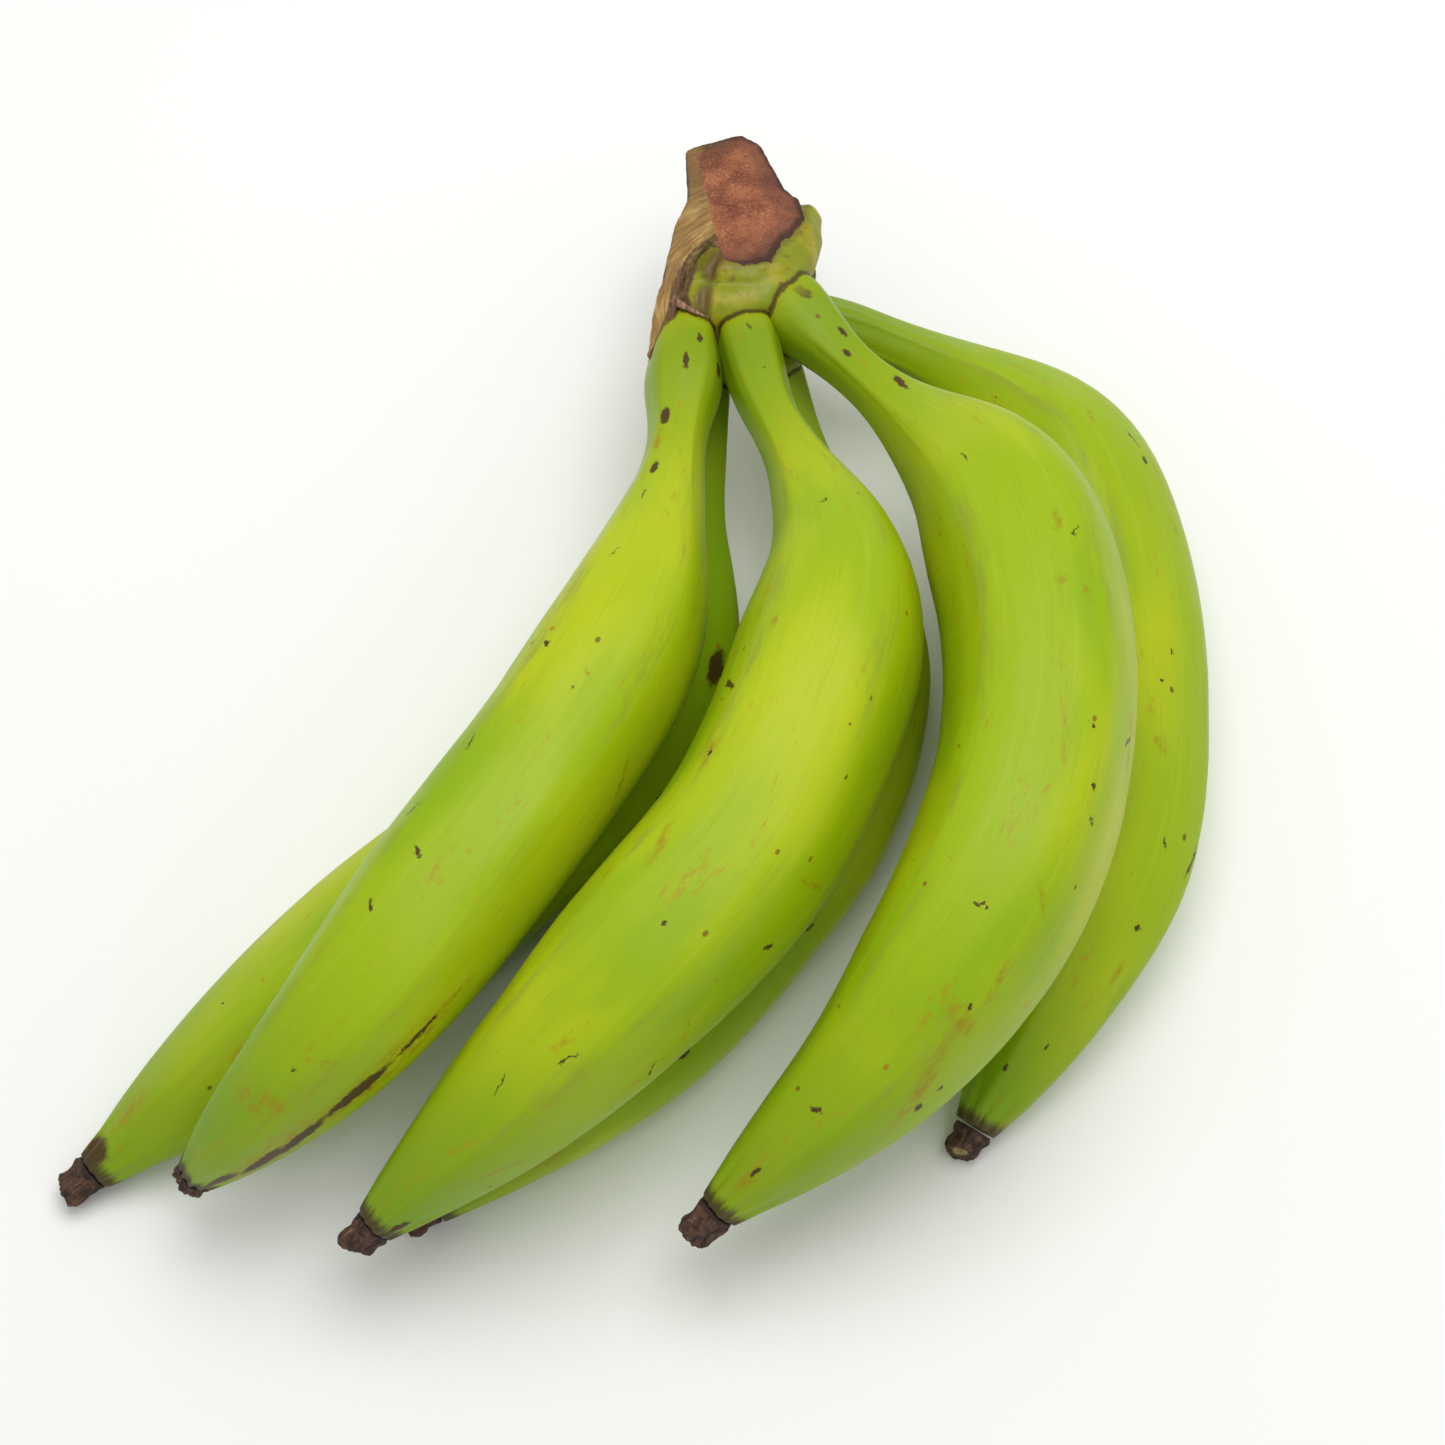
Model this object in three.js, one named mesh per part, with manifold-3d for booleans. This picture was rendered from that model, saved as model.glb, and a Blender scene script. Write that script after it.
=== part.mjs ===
// A hand of six green cooking bananas lying on a table, in millimetres, +Z up.
// The back row of three fingers rests on the table, the front row of three lies on the back row,
// and all six necks grow out of one crown, the piece of bunch stalk that the hand was cut off with.
// The origin is on the table, under the middle of the hand. The crown is towards +Y, the tips towards -Y.
import * as THREE from 'three';
import { mergeVertices } from 'three/addons/utils/BufferGeometryUtils.js';
import Module from 'manifold-3d';

const wasm = await Module();
wasm.setup();

// Driving dimensions, in millimetres
const NECK_R = 6.2; // half the thickness of a neck
const ROOT_FLARE = 0.9; // how much thicker a neck gets where it joins the crown
const TIP_R = 4.9; // half the thickness of a finger where its dried flower end begins
const GAP = 0.3; // clearance that keeps neighbouring solids apart
const STUB_LENGTH = 9; // a dried flower end
const STUB_END_R = 3.9;

// How a finger's thickness changes along its length, as shares of that length
const ROOT_END = 0.028; // the rounded root that sits in the crown
const NECK_END = 0.13; // from here it swells to its full thickness
const TAPER_START = 0.64;
const TAPER_POWER = 1.85;

// The five blunt ridges of the skin
const RIDGES = 5;
const RIDGE_HEIGHT = 0.035; // as a share of the radius

// Mesh fineness
const SIDES = 20;
const RINGS = 26;

// Each finger: its half thickness at the fullest point, the turn of its ridges in degrees,
// the share of its length at which it is full, and its spine from the crown to the blossom end
const FINGERS = {
  front_right: {
    fullR: 21.6,
    roll: 36,
    fullAt: 0.35,
    spine: [
      [30.5, 109, 45], [49, 86, 48], [62, 70, 52], [81, 44, 60], [89, 9, 66],
      [87, -25, 67], [76, -56, 64], [54, -86, 50], [18, -115, 29],
    ],
  },
  front_middle: {
    fullR: 21.4,
    roll: 36,
    fullAt: 0.39,
    spine: [
      [23.5, 102, 46], [29, 75, 50], [37.5, 53, 56], [45, 26, 62], [41, -4, 66.5],
      [23, -46, 67], [3, -69, 64], [-15, -87, 56], [-56, -118, 29],
    ],
  },
  front_left: {
    fullR: 19,
    roll: 36,
    fullAt: 0.42,
    spine: [
      [11, 104, 45.5], [9, 70, 50], [6, 45, 56], [-2, 10, 63], [-12, -12, 65],
      [-41, -57, 66], [-56, -77, 62], [-71, -91, 51], [-85, -100, 38], [-96, -105, 24],
    ],
  },
  back_right: {
    fullR: 21.4,
    roll: 0,
    fullAt: 0.35,
    spine: [
      [32, 109, 32], [44, 109, 30.5], [58, 104, 29], [74, 97, 27], [97, 77, 24], [109, 45, 20.8],
      [111, 5, 20.4], [106, -32, 19.5], [90, -67, 15], [76, -89, 6.5],
    ],
  },
  back_middle: {
    fullR: 21,
    roll: 0,
    fullAt: 0.38,
    spine: [
      [31, 101, 30], [37, 76, 29], [43, 61, 27], [48, 44, 24], [49, 24, 20.8],
      [39, -16, 20.7], [16, -50, 19.9], [-8, -77, 16.4], [-46, -107, 6.2],
    ],
  },
  back_left: {
    fullR: 20.5,
    roll: 0,
    fullAt: 0.37,
    spine: [
      [15, 95, 30], [14, 74, 29], [13, 55, 26], [11, 33, 22], [0, 8, 19.8],
      [-21, -18, 19.8], [-64, -55, 19], [-92, -77, 15], [-122, -99, 6],
    ],
  },
};

// The crown's sections from the necks back to its far end: place along Y, middle in X,
// half width, underside and top
const CROWN = [
  [89, 23, 9, 33, 42],
  [94, 22.5, 15.5, 26, 48],
  [101, 22, 18.5, 21, 54.5],
  [109, 21.5, 17.5, 19, 60],
  [117, 23, 17.5, 20, 62],
  [124, 24.8, 17.7, 21, 61],
  [130, 24.5, 15.5, 22, 60],
  [137, 22, 11.5, 24, 58],
  [144, 21, 9.8, 27, 55],
  [151, 22.5, 4.5, 33, 50],
];
const CROWN_SIDES = 20;

// The sloping cut that the hand was taken off the bunch with
const CUT_POINT = [23, 107, 57.5];
const CUT_SLOPE = 11; // degrees down towards +Y

// Two strips of torn fibre at the crown's sides: outline from above, underside and top
const TORN_STRIPS = [
  {
    low: 45,
    high: 53.5,
    outline: [
      [11, 143], [10.5, 131], [8.5, 123], [5, 108], [1.5, 94], [0.5, 88], [2.5, 86], [7.5, 95], [11, 106],
      [18, 114], [20, 138],
    ],
  },
  { low: 40, high: 48, outline: [[35, 122], [40, 120], [41.5, 111], [44, 104], [41, 103], [37, 109], [33, 115]] },
];

const peel = new THREE.MeshStandardMaterial({ color: 0x8fb51c, roughness: 0.45, metalness: 0 });
const dried = new THREE.MeshStandardMaterial({ color: 0x3a2a22, roughness: 0.9, metalness: 0 });
const crownWood = new THREE.MeshStandardMaterial({ color: 0x7d5238, roughness: 0.85, metalness: 0 });

// Helpers between three.js geometry and manifold-3d solids
const toSolid = (geometry) => {
  const bare = geometry.clone();
  bare.deleteAttribute('normal');
  bare.deleteAttribute('uv');
  const merged = mergeVertices(bare, 1e-3);
  return new wasm.Manifold(new wasm.Mesh({
    numProp: 3,
    vertProperties: merged.attributes.position.array,
    triVerts: new Uint32Array(merged.index.array),
  }));
};

const toGeometry = (solid) => {
  const { vertProperties, triVerts } = solid.getMesh();
  const geometry = new THREE.BufferGeometry();
  geometry.setAttribute('position', new THREE.BufferAttribute(vertProperties, 3));
  geometry.setIndex(new THREE.BufferAttribute(triVerts, 1));
  return geometry;
};

const table = toSolid(new THREE.BoxGeometry(600, 600, 100).translate(0, 0, -50));

// Half thickness of a finger at share t of its length
const girth = (t, { fullR, fullAt }) => {
  const rise = THREE.MathUtils.smoothstep(t, NECK_END, fullAt);
  const neck = NECK_R + ROOT_FLARE * Math.max(0, 1 - t / 0.06) ** 2;
  const body = neck + (fullR - neck) * rise;
  const late = Math.max(0, (t - TAPER_START) / (1 - TAPER_START)) ** TAPER_POWER;
  const early = Math.min(1, t / ROOT_END);
  const root = Math.sqrt(1 - (1 - early) ** 2);
  return root * (body + (TIP_R - body) * late);
};

// Bends a straight piece, turned about Y from 0 to 1, along a curve, with its +Z side kept uppermost
const bend = (geometry, curve, grow, roll) => {
  const up = new THREE.Vector3(0, 0, 1);
  const position = geometry.attributes.position;
  for (let i = 0; i < position.count; i++) {
    const share = THREE.MathUtils.clamp(position.getY(i), 0, 1);
    const across = Math.atan2(position.getX(i), position.getZ(i));
    const ridge = 1 + RIDGE_HEIGHT * Math.cos(RIDGES * (across - THREE.MathUtils.degToRad(roll)));
    const radius = Math.hypot(position.getX(i), position.getZ(i)) * ridge;
    const reach = radius > 0 ? radius + grow : 0;
    const tangent = curve.getTangentAt(share);
    const side = new THREE.Vector3().crossVectors(tangent, up).normalize();
    const top = new THREE.Vector3().crossVectors(side, tangent);
    const point = curve.getPointAt(share)
      .addScaledVector(side, reach * Math.sin(across))
      .addScaledVector(top, reach * Math.cos(across));
    position.setXYZ(i, point.x, point.y, point.z);
  }
  return geometry;
};

// One finger, thickened all round by grow
const fingerGeometry = (finger, grow = 0) => {
  const profile = [new THREE.Vector2(0, 0)];
  for (let ring = 0; ring <= RINGS; ring++) {
    // rings crowd towards the root and the tip, where the thickness changes fastest
    const t = 0.006 + 0.994 * (ring / RINGS) ** 1.25;
    profile.push(new THREE.Vector2(girth(t, finger), t));
  }
  profile.push(new THREE.Vector2(0, 1));
  return bend(new THREE.LatheGeometry(profile, SIDES), finger.curve, grow, finger.roll);
};

const stubGeometry = ({ curve, roll }) => {
  const end = curve.getPointAt(1);
  const heading = curve.getTangentAt(1);
  const line = new THREE.LineCurve3(
    end.clone().addScaledVector(heading, GAP),
    end.clone().addScaledVector(heading, GAP + STUB_LENGTH),
  );
  const profile = [[0, 0], [TIP_R * 0.96, 0], [TIP_R * 0.9, 0.35], [STUB_END_R, 0.9], [STUB_END_R * 0.6, 1], [0, 1]]
    .map(([r, t]) => new THREE.Vector2(r, t));
  return bend(new THREE.LatheGeometry(profile, 12), line, 0, roll);
};

const hand = new THREE.Group();
const addMesh = (name, geometry, material) => {
  const mesh = new THREE.Mesh(geometry, material);
  mesh.name = name;
  hand.add(mesh);
};

// Fingers and their dried flower ends
const sockets = [];
for (const [place, finger] of Object.entries(FINGERS)) {
  const points = finger.spine.map(([x, y, z]) => new THREE.Vector3(x, y, z));
  finger.curve = new THREE.CatmullRomCurve3(points, false, 'centripetal');
  addMesh(`finger_${place}`, toGeometry(toSolid(fingerGeometry(finger)).subtract(table)), peel);
  addMesh(`flower_end_${place}`, stubGeometry(finger), dried);
  sockets.push(toSolid(fingerGeometry(finger, GAP)));
}

// The crown: a loft through its sections, cut off on a slope, with the torn strips and the sockets
const crownGeometry = () => {
  const loft = new THREE.CylinderGeometry(1, 1, CROWN.length - 1, CROWN_SIDES, CROWN.length - 1);
  const position = loft.attributes.position;
  for (let i = 0; i < position.count; i++) {
    const [y, middle, halfWidth, low, high] = CROWN[Math.round(position.getY(i) + (CROWN.length - 1) / 2)];
    const x = middle + halfWidth * position.getX(i);
    const z = (low + high) / 2 + (high - low) / 2 * position.getZ(i);
    position.setXYZ(i, x, y, z);
  }
  return loft;
};

const cutAway = new THREE.BoxGeometry(200, 200, 100)
  .translate(0, 0, 50)
  .rotateX(THREE.MathUtils.degToRad(-CUT_SLOPE))
  .translate(...CUT_POINT);

let crown = toSolid(crownGeometry()).subtract(toSolid(cutAway));
for (const { low, high, outline } of TORN_STRIPS) {
  const shape = new THREE.Shape(outline.map(([x, y]) => new THREE.Vector2(x, y)));
  const strip = new THREE.ExtrudeGeometry(shape, { depth: high - low, bevelEnabled: false }).translate(0, 0, low);
  crown = crown.add(toSolid(strip));
}
for (const socket of sockets) crown = crown.subtract(socket);
addMesh('crown', toGeometry(crown), crownWood);

// The origin goes under the middle of the whole hand
const middle = new THREE.Box3().setFromObject(hand).getCenter(new THREE.Vector3());
hand.position.set(-middle.x, -middle.y, 0);

export default hand;
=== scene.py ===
import heapq
import math

import bmesh
import bpy
import numpy as np
from mathutils import Matrix, Vector, noise
from mathutils.bvhtree import BVHTree


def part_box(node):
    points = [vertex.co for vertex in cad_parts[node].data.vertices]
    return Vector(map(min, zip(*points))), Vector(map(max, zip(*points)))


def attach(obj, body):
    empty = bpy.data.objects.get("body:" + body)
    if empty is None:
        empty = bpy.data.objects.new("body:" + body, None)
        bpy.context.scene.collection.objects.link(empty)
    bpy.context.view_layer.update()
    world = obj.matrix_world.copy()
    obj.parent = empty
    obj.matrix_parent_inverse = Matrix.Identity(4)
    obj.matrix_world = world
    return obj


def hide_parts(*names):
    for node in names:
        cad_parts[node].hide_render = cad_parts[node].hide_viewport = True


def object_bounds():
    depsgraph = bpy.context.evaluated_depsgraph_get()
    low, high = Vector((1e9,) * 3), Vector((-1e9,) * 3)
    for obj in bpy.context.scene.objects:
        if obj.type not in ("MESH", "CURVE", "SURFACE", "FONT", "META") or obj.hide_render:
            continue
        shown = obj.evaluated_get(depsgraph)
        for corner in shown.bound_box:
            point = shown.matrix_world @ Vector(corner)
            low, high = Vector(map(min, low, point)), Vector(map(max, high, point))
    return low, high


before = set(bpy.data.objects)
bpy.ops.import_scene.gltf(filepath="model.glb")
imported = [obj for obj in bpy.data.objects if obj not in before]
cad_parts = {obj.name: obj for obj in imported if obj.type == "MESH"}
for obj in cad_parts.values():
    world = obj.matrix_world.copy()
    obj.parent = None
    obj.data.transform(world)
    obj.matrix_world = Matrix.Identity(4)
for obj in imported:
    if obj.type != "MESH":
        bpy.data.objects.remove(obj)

for leftover in ("Cube", "Light", "Camera"):
    if leftover in bpy.data.objects:
        bpy.data.objects.remove(bpy.data.objects[leftover])
cad_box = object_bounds()

# ---------------------------------------------------------------- the fingers
# Six green cooking bananas. Each one is a single fruit: a tough waxy peel over firm pulp, drawn out
# into a neck at the crown and a blunt beak at the blossom end. It grew with five long blunt ridges,
# curving up towards the light.
MM = 0.001
BOX_EDGE = 0.05 * MM  # how far inside the object's whole box every point is kept
PLACES = ["front_right", "front_middle", "front_left", "back_right", "back_middle", "back_left"]
RIDGES = 5
RIDGE_STEP = 2 * math.pi / RIDGES
RIDGE_TURN = {"front": math.radians(36), "back": 0.0}  # where a row's first ridge stands, from the top
AROUND = 112  # faces round a finger
ALONG = 300  # and along it
CAST = 40  # directions in which each section of the plain solid is measured
WAVES = 10  # the finest wave round the section that is kept from it
INSET = 0.35 * MM  # the peel is drawn this much inside the plain solid, so that its relief fits
ROUGHLY = 22 * MM  # a finger's thickness is about twice this
APART = 0.5  # keeps each finger's own coordinates, and so its pattern, clear of the next one's

# Some necks are stouter than the rest: by how much, at which share of the length, over what share
STOUT_NECKS = {
    "front_right": (0.5, 0.03, 0.05),
    "front_middle": (0.22, 0.05, 0.06),
    "front_left": (0.5, 0.085, 0.05),
}


def node_shape(node):
    """A CAD node's corners and their links with its doubled corners merged, and a tree to cast rays at."""
    shape = bmesh.new()
    shape.from_mesh(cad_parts[node].data)
    bmesh.ops.remove_doubles(shape, verts=shape.verts, dist=1e-6)
    corners = np.array([v.co[:] for v in shape.verts])
    links = [[edge.other_vert(v).index for edge in v.link_edges] for v in shape.verts]
    tree = BVHTree.FromBMesh(shape)
    shape.free()
    return corners, links, tree


def walk_from(start, corners, links):
    """How far each corner is from one corner, along the edges."""
    far = np.full(len(corners), np.inf)
    far[start] = 0
    queue = [(0.0, start)]
    while queue:
        reached, here = heapq.heappop(queue)
        if reached > far[here]:
            continue
        for there in links[here]:
            step = reached + np.linalg.norm(corners[there] - corners[here])
            if step < far[there]:
                far[there] = step
                heapq.heappush(queue, (step, there))
    return far


def lengths_along(points):
    return np.concatenate([[0], np.cumsum(np.linalg.norm(np.diff(points, axis=0), axis=1))])


def points_at(points, places):
    """The points of a line at the given distances along it."""
    lengths = lengths_along(points)
    return np.stack([np.interp(places, lengths, points[:, k]) for k in range(3)], axis=1)


def evenly(points, count):
    return points_at(points, np.linspace(0, lengths_along(points)[-1], count))


def soften(rows, times):
    """Averages each row with its neighbours, and leaves the two end rows where they are."""
    rows = rows.copy()
    for _ in range(times):
        rows[1:-1] = (rows[:-2] + 2 * rows[1:-1] + rows[2:]) / 4
    return rows


def across_and_top(line):
    """The two directions that the section at each point of a line lies in."""
    heading = np.gradient(line, axis=0)
    heading /= np.linalg.norm(heading, axis=1)[:, None]
    side = np.cross(heading, [0, 0, 1])
    side /= np.linalg.norm(side, axis=1)[:, None]
    return side, np.cross(side, heading)


def cast_sections(tree, line, count):
    """Distances from each point of the line to the skin, in count directions round it."""
    side, top = across_and_top(line)
    turns = np.arange(count) * 2 * math.pi / count
    reach = np.zeros((len(line), count))
    for row, centre in enumerate(line):
        for column, turn in enumerate(turns):
            ray = side[row] * math.sin(turn) + top[row] * math.cos(turn)
            hit = tree.ray_cast(Vector(centre), Vector(ray), 0.05)
            if hit[0] is not None:
                reach[row, column] = hit[3]
    return reach, turns


def measure_finger(place):
    """A finger's middle line from root to tip, and the sizes of its sections, read off the CAD solid."""
    corners, links, tree = node_shape(f"finger_{place}")
    busiest = sorted(range(len(corners)), key=lambda corner: -len(links[corner]))[:2]
    crown_low, crown_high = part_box("crown")
    crown_at = np.array((crown_low + crown_high) / 2)
    root, tip = sorted(busiest, key=lambda corner: np.linalg.norm(corners[corner] - crown_at))
    far = walk_from(root, corners, links)
    shares = far / far[tip]
    rough = [corners[root]]
    for step in range(2, 39):
        rough.append(corners[np.abs(shares - step / 40) < 0.03].mean(axis=0))
    rough.append(corners[tip])
    line = soften(evenly(np.array(rough), 60), 4)
    for _ in range(5):
        reach, turns = cast_sections(tree, line, 20)
        side, top = across_and_top(line)
        sideways = 2 * (reach * np.sin(turns)).mean(axis=1)[:, None]
        upwards = 2 * (reach * np.cos(turns)).mean(axis=1)[:, None]
        moved = line + 0.5 * (side * sideways + top * upwards)
        moved[0], moved[-1] = line[0], line[-1]
        line = soften(evenly(moved, 60), 2)
    return line, tree


def round_waves(reach, keep):
    """The sections with only their broad waves kept, so that the plain solid's facets go."""
    waves = np.fft.rfft(reach, axis=1)
    waves[:, keep + 1:] = 0
    return waves


def sections_at(waves, stations, places, turns):
    """The section sizes at any places along the finger and any turns round it."""
    held = [np.interp(places, stations, waves[:, k].real) +
            1j * np.interp(places, stations, waves[:, k].imag)
            for k in range(WAVES + 1)]
    total = np.real(held[0])[:, None] * np.ones(len(turns))
    for k in range(1, WAVES + 1):
        total = total + 2 * np.real(held[k][:, None] * np.exp(1j * k * turns)[None, :])
    return total / CAST


def band(value, start, end):
    """A smooth rise from 0 at start to 1 at end."""
    share = np.clip((value - start) / (end - start), 0, 1)
    return share * share * (3 - 2 * share)


def field(points, size, seed, depth=2):
    """Smooth noise from about -1 to 1 at each point, with lumps of the given size in metres."""
    shift = Vector((seed * 7.13, seed * 3.71, seed * 5.37))
    return np.array([noise.fractal(Vector(p) / size + shift, 1.0, 2.0, depth) for p in points])


def keep_on(mesh, name, values):
    """Keeps one number, or three, for each point of a mesh, under a name that its material reads."""
    values = np.asarray(values, dtype=np.float32)
    kind, slot = ("FLOAT_VECTOR", "vector") if values.ndim == 2 else ("FLOAT", "value")
    mesh.attributes.new(name, kind, "POINT").data.foreach_set(slot, values.ravel())


def tube_faces(rows, around):
    """The faces of a closed tube of rings. Its two end points come last in the list of points."""
    ring = np.arange(around)
    here = (np.arange(rows - 1)[:, None] * around + ring).ravel()
    beside = (np.arange(rows - 1)[:, None] * around + (ring + 1) % around).ravel()
    faces = np.stack([here, here + around, beside + around, beside], axis=1).tolist()
    first_end, last_end, last = rows * around, rows * around + 1, (rows - 1) * around
    for k in range(around):
        faces.append([first_end, k, (k + 1) % around])
        faces.append([last_end, last + (k + 1) % around, last + k])
    return faces


def new_piece(name, points, faces):
    mesh = bpy.data.meshes.new(name)
    mesh.from_pydata(np.asarray(points).tolist(), [], faces)
    mesh.polygons.foreach_set("use_smooth", np.ones(len(mesh.polygons), bool))
    piece = bpy.data.objects.new(name, mesh)
    bpy.context.scene.collection.objects.link(piece)
    return piece


def grow_skin(place, number):
    """The fine skin of one finger, with its ridges, hollows and puckered ends."""
    line, tree = measure_finger(place)
    length = lengths_along(line)[-1]
    stations = length * (1 - np.cos(np.linspace(0, math.pi, 90))) / 2
    stations[0], stations[-1] = 0.1 * MM, length - 0.05 * MM
    reach, _ = cast_sections(tree, points_at(line, stations), CAST)
    waves = round_waves(reach, WAVES)
    waves[4:-4] = soften(waves, 3)[4:-4]

    turns = np.arange(AROUND) * 2 * math.pi / AROUND
    even = np.linspace(0, 1, ALONG)
    crowded = (1 - np.cos(even * math.pi)) / 2
    places = (0.55 * even + 0.45 * crowded) * (length - 0.4 * MM) + 0.2 * MM
    size = sections_at(waves, stations, places, turns)
    centre = points_at(line, places)
    side, top = across_and_top(centre)
    side, top = soften(side, 6), soften(top, 6)

    share = (places / length)[:, None] * np.ones(AROUND)
    turn = np.ones(ALONG)[:, None] * turns
    first_ridge = RIDGE_TURN[place.split("_")[0]]
    nearest = np.round((turn - first_ridge) / RIDGE_STEP)
    off_ridge = turn - first_ridge - nearest * RIDGE_STEP
    if place in STOUT_NECKS:
        more, at, over = STOUT_NECKS[place]
        size = size * (1 + more * np.exp(-((share - at) / over) ** 2))
    upright = np.stack([size * np.sin(turn), size * np.cos(turn), places[:, None] + 0 * turn], axis=-1)
    flat = upright.reshape(-1, 3)

    # the ridges stand out sharply in some stretches and fade in others
    along_ridges = np.stack([(nearest % RIDGES).ravel() * 0.3, share.ravel() * 0.75, share.ravel() * 0],
                            axis=1)
    wander = field(along_ridges, 0.12, number).reshape(size.shape)
    crest = np.exp(-(off_ridge / math.radians(8.0)) ** 2)
    fade = band(share, 0.02, 0.1) * (1 - 0.55 * band(share, 0.9, 1.0))
    relief = (0.55 + 0.5 * wander) * crest * fade * 0.75 * MM
    # slow hollows and swellings along the flesh
    relief += field(flat, 0.045, number + 20).reshape(size.shape) * 0.55 * MM * band(share, 0.08, 0.25)
    relief += field(flat, 0.012, number + 40).reshape(size.shape) * 0.10 * MM
    # puckers that gather the skin towards the blossom end
    pleat = np.sin(turn * 11 + 2.1 * number + 2.0 * wander)
    relief += 0.32 * MM * pleat * band(share, 0.93, 0.995)
    # and the neck's shallow grooves
    groove = np.sin(turn * 7 + number) * np.clip(1 - share / 0.2, 0, 1)
    relief += 0.16 * MM * groove
    skin = np.maximum(size - INSET + np.minimum(relief, INSET * 0.9), 0.2 * size)

    points = centre[:, None, :] + side[:, None, :] * (skin * np.sin(turn))[..., None]
    points = points + top[:, None, :] * (skin * np.cos(turn))[..., None]
    points[..., 2] = np.maximum(points[..., 2], 0)
    piece = new_piece(f"skin_{place}", np.concatenate([points.reshape(-1, 3), line[[0, -1]]]),
                      tube_faces(ALONG, AROUND))

    # the finger's own coordinates, as if it were pulled straight: true to size, and on one round rod
    apart = number * APART
    true_size = np.stack([skin * np.sin(turn), skin * np.cos(turn), places[:, None] + apart + 0 * turn],
                         axis=-1)
    rod = np.stack([ROUGHLY * np.sin(turn), ROUGHLY * np.cos(turn), places[:, None] + 0 * turn], axis=-1)
    ridge = np.exp(-(off_ridge / math.radians(9.0)) ** 2)
    keep_on(piece.data, "straightened",
            np.concatenate([true_size.reshape(-1, 3), [[0, 0, apart], [0, 0, apart + length]]]))
    keep_on(piece.data, "rod", np.concatenate([rod.reshape(-1, 3), [[0, 0, 0], [0, 0, length]]]))
    keep_on(piece.data, "share", np.append(share.ravel(), [0, 1]))
    keep_on(piece.data, "ridge", np.append(ridge.ravel(), [0, 0]))
    return piece, line, length


fingers = {}
for number, place in enumerate(PLACES):
    piece, line, length = grow_skin(place, number)
    fingers[place] = {"piece": piece, "line": line, "length": length}


def srgb(code):
    """A hex colour as linear red, green, blue and alpha."""
    parts = [int(code[k:k + 2], 16) / 255 for k in (0, 2, 4)]
    return [p / 12.92 if p <= 0.04045 else ((p + 0.055) / 1.055) ** 2.4 for p in parts] + [1.0]


def add(tree, kind, links=None, **settings):
    """Adds one node. A setting in_X goes on its input X. Links name what feeds an input."""
    made = tree.nodes.new(kind)
    for name, value in settings.items():
        if name.startswith("in_"):
            key = name[3:]
            made.inputs[int(key) if key.isdigit() else key.replace("_", " ")].default_value = value
        else:
            setattr(made, name, value)
    for key, source in (links or {}).items():
        tree.links.new(getattr(source, "outputs", [source])[0], made.inputs[key])
    return made


def per_mm(across, lengthwise):
    """The scale of a pattern whose lumps are so many mm across the finger and so many along it."""
    return (1000 / across, 1000 / across, 1000 / lengthwise)


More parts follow.
